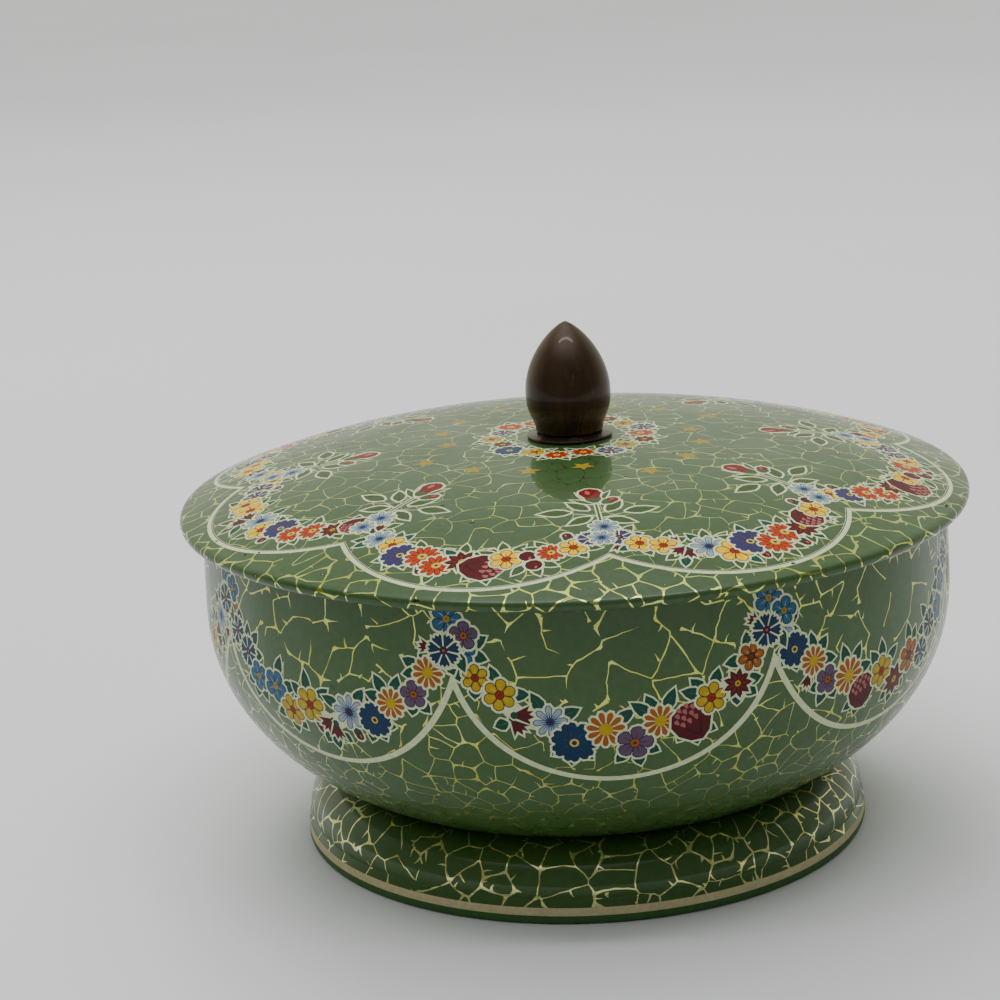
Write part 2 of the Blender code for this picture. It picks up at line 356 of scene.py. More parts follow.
printing = {"halo": 0.46, "line": 0.20, "stroke": 0.12}
petalShares = {          # (share of the length, share of the half width) along the right side of a petal
    "round": ((0.0, 0.22), (0.30, 0.66), (0.62, 1.0), (0.86, 0.80), (1.0, 0.22)),
    "slim": ((0.0, 0.30), (0.50, 0.88), (0.80, 1.0), (1.0, 0.35)),
    "pointed": ((0.0, 0.30), (0.42, 1.0), (0.76, 0.60), (1.0, 0.0)),
    "toothed": ((0.0, 0.12), (0.80, 0.96), (1.0, 0.74), (0.84, 0.40), (1.02, 0.06)),
    "leaf": ((0.0, 0.16), (0.20, 0.74), (0.42, 1.0), (0.70, 0.70), (1.0, 0.0)),
}
flowerLooks = {          # petals, their shape and fill, ink, line, inner stroke, heart's share and inks
    "sunny": (6, "round", 1.02, "yellow", "brown", "straw", 0.27, ("maroon", "scarlet", "brown")),
    # gilt: the sunny flower in yellowLit, painted light for the lid's brighter top
    "gilt": (6, "round", 1.02, "yellowLit", "brown", "orange", 0.27, ("maroon", "scarlet", "brown")),
    "daisy": (11, "slim", 0.84, "orange", None, None, 0.36, ("ochre", "yellow", "yellow")),
    "poppy": (11, "slim", 0.99, "vermilion", "ruby", None, 0.30, ("orange", "straw", "brown")),
    "bluet": (5, "round", 1.04, "skyBlue", "blue", "pale", 0.26, ("blue", "ochre", "orange")),
    "cornflower": (7, "toothed", 0.90, "blue", None, "indigo", 0.24, ("indigo", "crimson", "rosePink")),
    "violet": (7, "toothed", 0.90, "violet", None, "mauve", 0.24, ("maroon", "crimson", "rosePink")),
    "snowy": (8, "slim", 0.80, "pale", "skyBlue", "blue", 0.26, ("skyBlue", "indigo", "maroon")),
    "mauve": (5, "round", 1.04, "mauve", "indigo", "crimson", 0.26, ("brown", "orange", "crimson")),
    "plum": (9, "pointed", 1.05, "crimson", "maroon", "scarlet", 0.24, ("maroon", "yellow", "brown")),
    "apricot": (6, "round", 0.98, "orange", "brown", "straw", 0.30, ("maroon", "brown", "scarlet")),
}


def petal(kind, start, length, width):
    return bothSides([(start + length * t, -width / 2 * w) for t, w in petalShares[kind]])


def flower(kind, radius, turn):
    count, shape, fill, ink, line, inner, heartShare, heartInks = flowerLooks[kind]
    heart = radius * heartShare
    start = heart * 0.7
    width = 2 * radius * 0.70 * math.sin(math.pi / count) * fill
    if shape == "toothed":
        width *= 1.28
    edge = printing["line"] if line else 0.0
    body = petal(shape, start, radius - start - edge, width - 2 * edge)
    halo = grow(body, edge + printing["halo"])
    turns = [turn + math.tau * index / count for index in range(count)]
    shapes = [("cream", circle(radius * 0.62, 10))]
    shapes += [("cream", placed(halo, around)) for around in turns]
    for around in turns:
        if line:
            shapes.append((line, placed(grow(body, edge), around)))
        shapes.append((ink, placed(body, around)))
    if inner:
        half = printing["stroke"]
        stroke = [(heart * 0.9, -half), (radius * 0.74, 0.0), (heart * 0.9, half)]
        shapes += [(inner, placed(stroke, around)) for around in turns]
    rings = (circle(heart + printing["line"] * 0.7, 12, 0.9), circle(heart - printing["line"] * 0.4, 10),
             circle(heart * 0.38, 6))
    return shapes + list(zip(heartInks, rings))


broadBlooms = {"bigBlue": ("blue", "indigo", "skyBlue"), "bigViolet": ("violet", "indigo", "mauve")}
notchedPetal = ((-0.72, 0.97), (-0.30, 1.03), (0.0, 0.93), (0.30, 1.03), (0.72, 0.97), (1.0, 0.80))


def broadBloom(radius, turn, ink, fold, gleam):
    # One broad bloom with seven notched petals.
    count = 7
    edge = [polar(radius * reach, math.tau * index / count + share * math.pi / count)
            for index in range(count) for share, reach in notchedPetal]
    edge = placed(edge, turn)
    shapes = [("cream", grow(edge, printing["halo"])), (ink, edge)]
    crease = [(radius * 0.26, -0.05), (radius * 0.66, -0.05), (radius * 0.84, 0.0),
              (radius * 0.66, 0.06), (radius * 0.26, 0.05)]
    stroke = [(radius * 0.34, -0.04), (radius * 0.62, 0.0), (radius * 0.34, 0.05)]
    for index in range(count):
        around = turn + math.tau * (index + 0.5) / count
        shapes += [(fold, placed(crease, around)), (gleam, placed(stroke, around - math.pi / count))]
    return shapes + [(fold, circle(radius * 0.26, 10)), ("straw", circle(radius * 0.21, 10)),
                     (ink, circle(radius * 0.12, 8))]


roseSide = [(-1.18, 0.0), (-0.92, -0.52), (-0.35, -0.92), (0.30, -1.0), (0.82, -0.66), (1.02, 0.0)]
roseScales = ((-0.05, (-0.30, 0.05, 0.40)), (0.24, (-0.62, -0.22, 0.20, 0.58)),
              (0.50, (-0.42, 0.0, 0.40)), (0.72, (-0.20, 0.20)))


def rose(radius, turn):
    # A full bloom seen from the side: smooth outer petals, and pink scales over its heart.
    body = placed(bothSides(roseSide), 0.0, scale=radius)
    fold = [(-radius * 0.95, -0.08), (-radius * 0.30, -radius * 0.42), (-radius * 0.20, -radius * 0.40),
            (-radius * 0.80, 0.08)]
    shapes = [("cream", grow(body, printing["halo"])), ("maroon", body),
              ("crimson", grow(body, -printing["line"])), ("maroon", fold),
              ("maroon", [(x, -y) for x, y in reversed(fold)])]
    scale = petal("slim", 0.0, radius * 0.30, radius * 0.24)
    for x, places in roseScales:
        shapes += [("rosePink", placed(scale, 0.35 * y, (radius * x, radius * y))) for y in places]
    return [(ink, placed(points, turn)) for ink, points in shapes]


def leaf(length, width, ink="leaf", vein="vein", halo=0.36):
    body = petal("leaf", 0.0, length, width)
    rib = [(length * 0.10, -0.09), (length * 0.80, 0.0), (length * 0.10, 0.09)]
    return [("cream", grow(body, halo)), (ink, body), (vein, rib)]


budCup = ((0.0, 0.16), (0.26, 0.50), (0.58, 0.54), (0.36, 0.16), (0.60, 0.0))


def bud(length, ink="scarlet", cupInk="deepLeaf", cupSize=1.0):
    width = length * 0.58
    cup = placed(bothSides([(length * x, -width * y) for x, y in budCup]), 0.0, scale=cupSize)
    bloom = petal("round", length * 0.14, length * 0.82, width)
    gleam = petal("pointed", length * 0.56, length * 0.30, width * 0.26)
    return [("cream", grow(bloom, printing["halo"])), ("cream", grow(cup, printing["halo"] * 0.8)),
            ("maroon", bloom), (ink, grow(bloom, -printing["line"] * 0.9)),
            ("rosePink", placed(gleam, 0.0, (0.0, width * 0.10))), (cupInk, cup)]


thistleTuft = [(0.2, -0.12), (0.9, -0.42), (0.72, -0.17), (1.0, -0.06), (0.78, 0.06), (0.98, 0.22),
               (0.70, 0.20), (0.80, 0.44), (0.2, 0.12)]


def thistle(length):
    # A small crimson tuft on a green cup.
    tuft = placed(thistleTuft, 0.0, scale=length)
    cup = placed(circle(length * 0.17, 7), 0.0, (length * 0.16, 0.0))
    stroke = [(length * 0.25, -0.08), (length * 0.7, 0.0), (length * 0.25, 0.08)]
    return [("cream", grow(tuft, printing["halo"])), ("cream", grow(cup, 0.3)), ("crimson", tuft),
            ("maroon", stroke), ("leaf", cup)]


def berry(radius):
    gleam = petal("pointed", 0.0, radius * 0.6, radius * 0.3)
    return [("cream", circle(radius + printing["halo"], 10)), ("maroon", circle(radius, 10)),
            ("crimson", circle(radius - printing["line"], 9)),
            ("rosePink", placed(gleam, 0.0, (0.1, radius * 0.35)))]


def bloomOf(rng, kind, size):
    # Any bloom by its name, at a chance turn.
    turn = rng.uniform(0, math.tau)
    shapes = []
    if kind == "rose":
        shapes = rose(size * 1.12, turn)
    elif kind in broadBlooms:
        shapes = broadBloom(size * 1.16, turn, *broadBlooms[kind])
    elif kind == "berries":
        for side in (-1, 1):
            put(shapes, berry(size * 0.52), polar(side * size * 0.52, turn))
    elif kind == "thistles":
        for lean in (-0.55, 0.45):
            put(shapes, thistle(size * 1.35), polar(-size * 0.5, turn), turn + lean)
    else:
        shapes = flower(kind, size, turn)
    return shapes


sprayLook = {"stem": 11.0, "stemWidth": 0.55, "bud": 8.2, "leafLength": 6.6, "leafWidth": 3.1,
             "outline": 0.48,
             "leaflets": ((5.2, 5.6, 1.42, 1.0), (5.8, 1.9, 0.66, 0.90), (2.4, 1.7, 2.05, 0.88)),
             "sepals": ((-1.6, 0.95, 5.4), (-0.4, 0.50, 6.4))}


def spray():
    # A rosebud on a stem between two leaves of three leaflets each. It points along +X.
    look = sprayLook
    shapes = []
    half = look["stemWidth"] / 2
    for side in (-1, 1):
        shift = 0.8 if side > 0 else -0.2
        stalk = [(2.6 + shift, -half), (2.6 + shift, half), (5.0 + shift, side * 6.2)]
        shapes.append(("cream", grow(stalk if area(stalk) > 0 else stalk[::-1], 0.2)))
        for start, away, turn, size in look["leaflets"]:
            length, width = look["leafLength"] * size, look["leafWidth"] * size
            put(shapes, leaf(length, width, "olive", "deepLeaf", look["outline"]),
                (start + shift, side * away), side * (turn + 0.06 * side))
    stem = [(-1.5, -half), (look["stem"], -half * 0.8), (look["stem"], half * 0.8), (-1.5, half)]
    shapes += [("cream", grow(stem, 0.3)), ("olive", stem)]
    for back, turn, length in look["sepals"]:
        for side in (-1, 1):
            put(shapes, leaf(length, 1.4, "olive", "deepLeaf", 0.38),
                (look["stem"] + back, 0.5 * side), side * turn)
    put(shapes, bud(4.4, "ruby", "olive"), (look["stem"] - 1.6, -1.4), -0.85)
    put(shapes, bud(look["bud"], "ruby", "olive", 0.66), (look["stem"] - 0.9, 0.0), 0.10)
    return shapes


# lobes: a scallop line under a swag of flowers. A lobe's own +X points to its dip.

def circleThrough(dip, cuspX, cuspY):
    # Middle, on the X axis, and radius of the circle through the dip and both cusps.
    center = (dip ** 2 - cuspX ** 2 - cuspY ** 2) / (2 * (dip - cuspX))
    return center, dip - center


def lobeBand(center, radius, width, edges, count=40):
    # A line of one width along the lobe's circle, mitred at the two edges of the lobe.
    rims = []
    for ring in (radius + width / 2, radius - width / 2):
        ends = []
        for px, py, dx, dy in edges:
            along = (px - center) * dx + py * dy
            inner = along * along - ((px - center) ** 2 + py * py - ring * ring)
            reach = -along + math.sqrt(inner)
            ends.append(math.atan2(py + reach * dy, px + reach * dx - center))
        rims.append([polar(ring, lerp(*ends, index / count), center) for index in range(count + 1)])
    return rims[0] + rims[1][::-1]


def swag(rng, look, center, radius, half, kinds, first):
    # Flowers strung along the lobe's circle, large at the dip and small at the ends, over leaves and cream.
    leaves = []
    blooms = []
    rims = ([], [])
    for index in range(look["flowers"]):
        share = (index + 0.5) / look["flowers"]
        angle = lerp(-half, half, share)
        full = 1.0 - abs(2 * share - 1) ** 1.6
        side = 1 if index % 2 else -1
        away = side * look["zigzag"] * (0.12 + 0.88 * full ** 2) + rng.uniform(-0.3, 0.3)
        spot = polar(radius + away, angle, center)
        size = lerp(look["small"], look["large"], full) * rng.uniform(0.90, 1.08)
        put(blooms, bloomOf(rng, kinds[(first + index) % len(kinds)], size), spot)
        for rim, reach in zip(rims, (size * look["band"], -size * look["band"])):
            rim.append(polar(radius + 0.6 * away + reach * rng.uniform(0.8, 1.2), angle, center))
        outward = angle if side > 0 else angle + math.pi
        for lean in look["leans"]:
            if rng.random() < look["leafChance"]:
                turn = outward + lean + rng.uniform(-0.2, 0.2)
                ink = look["leafInks"][0 if rng.random() < 0.75 else 1]
                length = look["leafLength"] * rng.uniform(0.85, 1.15) * (0.75 + 0.25 * full)
                length *= look["lineSide"] if side > 0 else 1.0
                put(leaves, leaf(length, look["leafWidth"], ink), polar(size * 0.62, turn, *spot), turn)
        if rng.random() < look["budChance"]:
            turn = outward + math.pi + rng.uniform(-0.6, 0.6)
            small = bud(3.6, "crimson", "leaf") if rng.random() < 0.5 else thistle(3.4)
            put(leaves, small, polar(size * 0.8, turn, *spot), turn)
    return leaves + [("cream", rims[0] + rims[1][::-1])] + blooms


# gold crackle: the edges of loose cells, drawn as strips that swell where they meet

def cellEdges(points):
    # Sides of the cells round some points, from the triangles between the points.
    verts, _, faces, _, _, _ = delaunay_2d_cdt([Vector(p) for p in points], [], [], 0, 1e-6, False)
    middles = []
    sides = {}
    for index, face in enumerate(faces):
        a, b, c = (verts[k] for k in face[:3])
        scale = 2 * (a.x * (b.y - c.y) + b.x * (c.y - a.y) + c.x * (a.y - b.y))
        if abs(scale) < 1e-9:
            middles.append(((a.x + b.x + c.x) / 3, (a.y + b.y + c.y) / 3))
        else:
            aa, bb, cc = a.length_squared, b.length_squared, c.length_squared
            middles.append(((aa * (b.y - c.y) + bb * (c.y - a.y) + cc * (a.y - b.y)) / scale,
                            (aa * (c.x - b.x) + bb * (a.x - c.x) + cc * (b.x - a.x)) / scale))
        for k in range(3):
            side = tuple(sorted((face[k], face[(k + 1) % 3])))
            sides.setdefault(side, []).append(index)
    return [(middles[pair[0]], middles[pair[1]]) for pair in sides.values() if len(pair) == 2]


def between(start, end, share):
    return lerp(start[0], end[0], share), lerp(start[1], end[1], share)


def crackStrip(rng, start, end, widths, thin, look):
    # One crack: a kinked strip, webbed at its ends, or drawn out to a point where a width is 0.
    length = math.dist(start, end)
    steps = max(int(length / look["step"]), 2)
    dx, dy = (end[0] - start[0]) / length, (end[1] - start[1]) / length
    sway = rng.uniform(-1, 1) * look["sway"] * length
    left = []
    right = []
    for index in range(steps + 1):
        inner = 0 < index < steps
        t = (index + (rng.uniform(-0.3, 0.3) if inner else 0.0)) / steps
        away = sway * math.sin(math.pi * t) + (rng.uniform(-1, 1) * look["kink"] if inner else 0.0)
        x, y = between(start, end, t)
        x, y = x - dy * away, y + dx * away
        width = thin * rng.uniform(0.6, 1.45)
        if widths[1] == 0:
            width *= min((1 - t) * 2.0 + 0.12, 1.0)
        for bold, gone in zip(widths, (t, 1 - t)):
            width += max(bold - thin, 0) * math.exp(-gone * length / look["web"])
        left.append((x - dy * width / 2, y + dx * width / 2))
        right.append((x + dy * width / 2, y - dx * width / 2))
    return "gold", right + left[::-1]


def cellMiddles(rng, look, width, low, high, periodic, zone):
    # One place for each cell, shaken off a grid of rows that start half a cell apart by turns.
    columns = max(round(width / (look["cell"] * look["wide"])), 3)
    rows = max(round((high - low) / (look["cell"] * 0.9)), 2)
    points = []
    for row in range(-2, rows + 3):
        for column in range(columns):
            shaken = column + 0.5 * (row % 2) + rng.uniform(-1, 1) * look["jitter"]
            x = shaken * width / columns - width / 2
            y = low + (row + 0.5 + rng.uniform(-1, 1) * look["jitter"]) * (high - low) / rows
            if rng.random() > zone(x, y)[3]:
                continue
            points.append((x, y))
            if periodic and column < 3:
                points.append((x + width, y))
            if periodic and column >= columns - 3:
                points.append((x - width, y))
    return points


def crackle(rng, look, width, low, high, periodic, zone):
    # Cracks over a strip that repeats round a piece, or over a square that holds a disc. At any place the
    # zone gives the chance of a whole crack, the chance of part of one, its boldness, and the share of cells.
    shapes = []
    swell = {}
    for start, end in cellEdges(cellMiddles(rng, look, width, low, high, periodic, zone)):
        middleX, middleY = (start[0] + end[0]) / 2, (start[1] + end[1]) / 2
        length = math.dist(start, end)
        held = -width / 2 <= middleX < width / 2 and low < middleY < high
        if not (held and 0.4 < length < 3 * look["cell"]):
            continue
        chance, partial, bold, _ = zone(middleX, middleY)
        ends = []
        for place in (start, end):
            key = (round(place[0] % width, 2), round(place[1], 2))
            if key not in swell:
                webbed = rng.random() < look["webbed"]
                swell[key] = look["swell"] * (rng.uniform(0.8, 1.4) if webbed else rng.uniform(0.3, 0.5))
            ends.append(swell[key] * bold)
        thin = look["line"] * bold * rng.uniform(0.65, 1.35)
        draw = rng.random()
        if draw < chance:
            shapes.append(crackStrip(rng, start, end, ends, thin, look))
            if length > 1.6 and rng.random() < look["spurs"]:
                root = between(start, end, rng.uniform(0.25, 0.75))
                turn = math.atan2(end[1] - start[1], end[0] - start[0])
                turn += rng.choice((-1, 1)) * rng.uniform(0.9, 1.9)
                tip = polar(rng.uniform(0.9, 2.6), turn, *root)
                shapes.append(crackStrip(rng, root, tip, (thin * 2.4, 0), thin * 0.9, look))
        elif draw < chance + partial:
            if rng.random() < 0.5:
                start, end, ends = end, start, ends[::-1]
            tip = between(start, end, rng.uniform(0.30, 0.75))
            shapes.append(crackStrip(rng, start, tip, (ends[0], 0), thin, look))
    return shapes


# shells: the printed face is triangulated round the print's outlines, the rest is plain rings of quads

sectors = 8              # as many as the lobes of the scallop line
shellColumns = 24 * sectors
edgeMargin = 0.15        # how far the print's outlines stay inside the ends of the printed face
leastArea = 0.004        # smaller outlines are left out
straightWithin = 0.006   # how far a dropped place may lie from the straight edge that replaces it


def fitted(points, plane, low, high):
    # An outline kept between two flat distances, without repeated points, or None if nothing is left.
    kept = []
    for x, y in points:
        if plane == "disc":
            reach = math.hypot(x, y)
            if reach < low:
                return None
            fit = min(reach, high) / reach
            spot = (x * fit, y * fit)
        else:
            spot = (x, min(max(y, low), high))
        if not kept or math.dist(spot, kept[-1]) > 1e-3:
            kept.append(spot)
    while len(kept) > 2 and math.dist(kept[0], kept[-1]) < 1e-3:
        kept.pop()
    if len(kept) < 3 or abs(area(kept)) < leastArea:
        return None
    return kept if area(kept) > 0 else kept[::-1]


def cut(verts, edges, faces):
    found = delaunay_2d_cdt([Vector(spot) for spot in verts], edges, faces, 1, 1e-5, True)
    return np.array([tuple(spot) for spot in found[0]]), found[2], found[5]


def inkedTriangles(border, outlines):
    # Triangles between all the outlines, with the ink that was printed last on each.
    verts = []
    faces = []
    for ring in [border] + [ring for _, ring in outlines]:
        faces.append(list(range(len(verts), len(verts) + len(ring))))
        verts += ring
    spots, cells, owners = cut(verts, [], faces)
    kept = [k for k, held in enumerate(owners) if 0 in held]
    triangles = np.array([cells[k] for k in kept])
    inks = []
    for k, (x, y) in zip(kept, spots[triangles].mean(1).tolist()):
        ink = 0
        for owner in sorted(owners[k], reverse=True):
            if owner and isInside(x, y, outlines[owner - 1][1]):
                ink = outlines[owner - 1][0]
                break
        inks.append(ink)
    return spots, triangles, inks


def inkBorders(triangles, inks, count):
    # The edges that part two inks, as pairs of places.
    tails = triangles.ravel().astype(np.int64)
    heads = np.roll(triangles, -1, 1).ravel().astype(np.int64)
    keys = np.minimum(tails, heads) * count + np.maximum(tails, heads)
    order = np.argsort(keys, kind="stable")
    twins = np.nonzero(keys[order][1:] == keys[order][:-1])[0]
    sides = np.repeat(np.array(inks), 3)
    first = order[twins][sides[order[twins]] != sides[order[twins + 1]]]
    return list(zip(tails[first].tolist(), heads[first].tolist()))


def straightened(spots, pairs, fixed):
    # The same borders without the places that lie on a straight run between two others.
    edges = dict(enumerate(pairs))
    at = {}
    for key, pair in edges.items():
        for spot in pair:
            at.setdefault(spot, []).append(key)
    for spot, touching in at.items():
        if len(touching) != 2 or spot in fixed:
            continue
        one, other = touching
        a, b = (sum(edges[key]) - spot for key in touching)
        (ax, ay), (bx, by), (px, py) = spots[a], spots[b], spots[spot]
        span = math.hypot(bx - ax, by - ay)
        if a != b and abs((bx - ax) * (py - ay) - (by - ay) * (px - ax)) < straightWithin * span:
            edges[one] = (a, b)
            del edges[other]
            at[b][at[b].index(other)] = one
    return list(edges.values())


def visibleCells(grid, lines, border, outlines, marksOf):
    # Triangles between the grid and the visible edges of the print only, with the ink of each.
    spots, triangles, inks = inkedTriangles(border, outlines)
    fixed = set(np.nonzero(marksOf(spots, 1e-3).any(1))[0].tolist())
    pairs = straightened(spots, inkBorders(triangles, inks, len(spots)), fixed)
    number = {}
    verts = list(grid)
    for spot in sorted({k for pair in pairs for k in pair}):
        number[spot] = len(verts)
        verts.append(tuple(spots[spot]))
    flat, cells, _ = cut(verts, [(number[a], number[b]) for a, b in pairs] + lines, [])
    cells = np.array(cells)
    cells = cells[~marksOf(flat, 1e-4)[cells].all(1).any(1)]
    tree = BVHTree.FromPolygons([(x, y, 0.0) for x, y in spots.tolist()], triangles.tolist())
    found = [inks[tree.find_nearest((x, y, 0.0))[2]] for x, y in flat[cells].mean(1).tolist()]
    return flat, cells.tolist(), found


def borderMarks(spots, plane, flats, corners, near):
    # For each place, which of a sector's four borders it lies on, as a row of four flags.
    lengths = np.hypot(spots[:, 0], spots[:, 1]) if plane == "disc" else spots[:, 1]
    marks = [np.abs(lengths - flats[0]) < near, np.abs(lengths - flats[-1]) < near]
    for (ax, ay), (bx, by) in corners:
        span = math.hypot(bx - ax, by - ay)
        marks.append(np.abs((bx - ax) * (spots[:, 1] - ay) - (by - ay) * (spots[:, 0] - ax)) / span < near)
    return np.stack(marks, 1)


def spreadOutlines(shapes, plane, radius, low, high):
    # Each outline fitted to the face, with its ink number and box, and repeated on both sides of a strip.
    period = math.tau * radius
    spread = []
    for ink, points in shapes:
        ring = fitted(points, plane, low, high)
        if ring:
            for shift in ((-period, 0.0, period) if plane == "strip" else (0.0,)):
                moved = [(x + shift, y) for x, y in ring]
                spread.append((inkOrder.index(ink), moved, boxOf(moved)))
    return spread


def printedFace(track, places, shapes):
    # The printed face, as one group for each sector: places, normals, map places, faces and ink numbers.
    plane, radius = track["plane"], track["radius"]
    flats = np.interp(places, track["distance"], track["flat"])
    spread = spreadOutlines(shapes, plane, radius, flats[0] + edgeMargin, flats[-1] - edgeMargin)
    perSector = shellColumns // sectors
    number = np.arange(len(flats) * (perSector + 1)).reshape(len(flats), -1)
    ring = [*number[0].tolist(), *number[1:, -1].tolist(), *number[-1, -2::-1].tolist(),
            *number[-2:0:-1, 0].tolist()]
    lines = list(zip(number[1:-1, :-1].ravel().tolist(), number[1:-1, 1:].ravel().tolist()))
    lines += zip(number[:-1, 1:-1].T.ravel().tolist(), number[1:, 1:-1].T.ravel().tolist())
    lines += zip(ring, ring[1:] + ring[:1])
    groups = []
    for sector in range(sectors):
        turns = [-math.pi + math.tau * (sector * perSector + column) / shellColumns
                 for column in range(perSector + 1)]
        if plane == "disc":
            grid = [polar(flat, turn) for flat in flats.tolist() for turn in turns]
        else:
            grid = [(turn * radius, flat) for flat in flats.tolist() for turn in turns]
        border = [grid[k] for k in ring]
        if area(border) < 0:
            border.reverse()
        lowX, highX, lowY, highY = boxOf(grid)
        outlines = [(ink, points) for ink, points, (x0, x1, y0, y1) in spread
                    if x1 > lowX and x0 < highX and y1 > lowY and y0 < highY]
        corners = [(grid[number[0, side]], grid[number[-1, side]]) for side in (0, -1)]

        def marksOf(spots, near):
            return borderMarks(spots, plane, flats, corners, near)

        flat, cells, inks = visibleCells(grid, lines, border, outlines, marksOf)
        if plane == "disc":
            turns, lengths = np.arctan2(flat[:, 1], flat[:, 0]), np.hypot(flat[:, 0], flat[:, 1])
            maps = flat / (2 * flats[-1]) * 0.62 + 0.32
        else:
            turns, lengths = flat[:, 0] / radius, flat[:, 1]
            upward = (lengths - flats[0]) / (flats[-1] - flats[0])
            maps = np.stack([turns / math.tau + 0.5, upward * 0.62], 1)
        r, z, nr, nz = trackAt(track, lengths, "flat")
        groups.append((np.stack([r * np.cos(turns), r * np.sin(turns), z], 1),
                       np.stack([nr * np.cos(turns), nr * np.sin(turns), nz], 1), maps, cells, inks))
    return groups


def ringFaces(rows, columns, ink):
    # Rings of quads from rows of (r, z, normal r, normal z), with a seam of doubled places for the map.
    turns = -math.pi + math.tau * np.arange(columns + 1) / columns
    r, z, nr, nz = (np.array(rows)[:, k][:, None] for k in range(4))
    cosT, sinT = np.cos(turns)[None], np.sin(turns)[None]
    places = np.stack([r * cosT, r * sinT, z + 0 * cosT], 2).reshape(-1, 3)
    normals = np.stack([nr * cosT, nr * sinT, nz + 0 * cosT], 2).reshape(-1, 3)
    along = lengthsAlong(np.array(rows)[:, :2])
    along = 0.66 + 0.34 * along / along[-1]
    across = np.arange(columns + 1)[None] / columns
    maps = np.stack([across + 0 * r, along[:, None] + 0 * cosT], 2).reshape(-1, 2)
    number = np.arange(len(places)).reshape(len(rows), -1)
    quads = np.stack([number[:-1, :-1], number[:-1, 1:], number[1:, 1:], number[1:, :-1]], 2).reshape(-1, 4)
    return places, normals, maps, quads.tolist(), [ink] * len(quads)


def outerRows(track, places):
    return [tuple(float(v) for v in row) for row in zip(*trackAt(track, places))]


def innerRows(track, places, thickness):
    return [(r - nr * thickness, z - nz * thickness, -nr, -nz) for r, z, nr, nz in outerRows(track, places)]


def edgeRows(track, place, thickness, forward):
    # The rounded edge of the sheet, from one face to the other, where a track ends or starts.
    r, z, nr, nz = outerRows(track, [place])[0]
    tr, tz = -nz * track["side"] * forward, nr * track["side"] * forward
    rows = []
    for turn in np.radians((36.0, 72.0, 108.0, 144.0)):
        ur, uz = nr * math.cos(turn) + tr * math.sin(turn), nz * math.cos(turn) + tz * math.sin(turn)
        rows.append((r + (ur - nr) * thickness / 2, z + (uz - nz) * thickness / 2, ur, uz))
    return rows if forward > 0 else rows[::-1]


def buildMesh(name, groups, materials):
    # Joins the groups, welds them where they meet, and keeps the true normals of the turned form.
    places, normals, maps = (np.concatenate([group[k] for group in groups]) for k in range(3))
    bases = np.cumsum([0] + [len(group[0]) for group in groups]).tolist()
    faces = [[base + k for k in face] for base, group in zip(bases, groups) for face in group[3]]
    inks = [ink for group in groups for ink in group[4]]
    used = sorted(set(inks))
    mesh = bpy.data.meshes.new(name)
    mesh.from_pydata((places * mm).tolist(), [], faces)
    for ink in used:
        mesh.materials.append(materials[ink])
    mesh.polygons.foreach_set("material_index", [used.index(ink) for ink in inks])
    corners = np.array([k for face in faces for k in face])
    unwrapped = mesh.uv_layers.new(name="print")
    unwrapped.data.foreach_set("uv", maps[corners].astype(np.float32).ravel())
    layer = mesh.attributes.new("trueNormal", "FLOAT_VECTOR", "POINT")
    layer.data.foreach_set("vector", normals.astype(np.float32).ravel())
    work = bmesh.new()
    work.from_mesh(mesh)
    seams = [vert for vert in work.verts if vert.is_boundary]
    bmesh.ops.remove_doubles(work, verts=seams, dist=3e-7)
    bmesh.ops.recalc_face_normals(work, faces=work.faces)
    loose = sum(1 for edge in work.edges if len(edge.link_faces) != 2)
    work.to_mesh(mesh)
    work.free()
    mesh.shade_smooth()
    kept = np.empty(len(mesh.vertices) * 3, np.float32)
    mesh.attributes["trueNormal"].data.foreach_get("vector", kept)
    mesh.attributes.remove(mesh.attributes["trueNormal"])
    mesh.normals_split_custom_set_from_vertices(kept.reshape(-1, 3).tolist())
    print(name, "made:", len(mesh.polygons), "faces,", loose, "edges not shared by two faces")
    return newObject(name, mesh)


def sheetShell(name, track, look, shapes, ground, gold):
    # A pressed sheet whose outer face is printed between two places along its track.
    low, high = look["printFrom"], look["printTo"]
    end = float(track["distance"][-1])
    bare = inkOrder.index("bare")
    groups = printedFace(track, rowPlaces(track, low, high, look), shapes)
    section = outerRows(track, rowPlaces(track, high, end, look)) + edgeRows(track, end, sheet, 1)
    section += innerRows(track, rowPlaces(track, 0.0, end, look)[::-1], sheet)
    start = outerRows(track, rowPlaces(track, 0.0, low, look))
    if track["line"][0, 0] > 0.0:
        section += edgeRows(track, 0.0, sheet, -1) + start
        groups.append(ringFaces(section, shellColumns, bare))
    else:
        groups.append(ringFaces(section, shellColumns, bare))
        groups.append(ringFaces(start, shellColumns, 0))
    return buildMesh(name, groups, [ground, gold] + printInks + [bareTin])


def turnedPiece(name, line, look, material):
    # A closed solid, turned from its outline with the outside on the outline's right.
    track = newTrack(eased(line, look["ease"]), 1)
    rows = outerRows(track, rowPlaces(track, 0.0, float(track["distance"][-1]), look))
    return buildMesh(name, [ringFaces(rows, look["columns"], 0)], [material])


sheet = 0.4              # thickness of every pressed sheet, as in the solids


# bowl

bowlLow, bowlHigh = nodeBox("bowl")
bowlShape = {"bellyHeight": 39.8, "bottomRadius": 54.7, "dropPower": 2.12, "widthPower": 2.29, "lean": 0.9,
             "bead": 1.1, "beadTurn": 270.0, "bend": 6.0, "stride": 2.4,
             "printFrom": 50.0}             # the bottom is flat as far as there
bellyRadius = bowlHigh.x - 2 * bowlShape["bead"] + sheet + bowlShape["lean"]
rimHeight = bowlHigh.z - bowlShape["bead"]


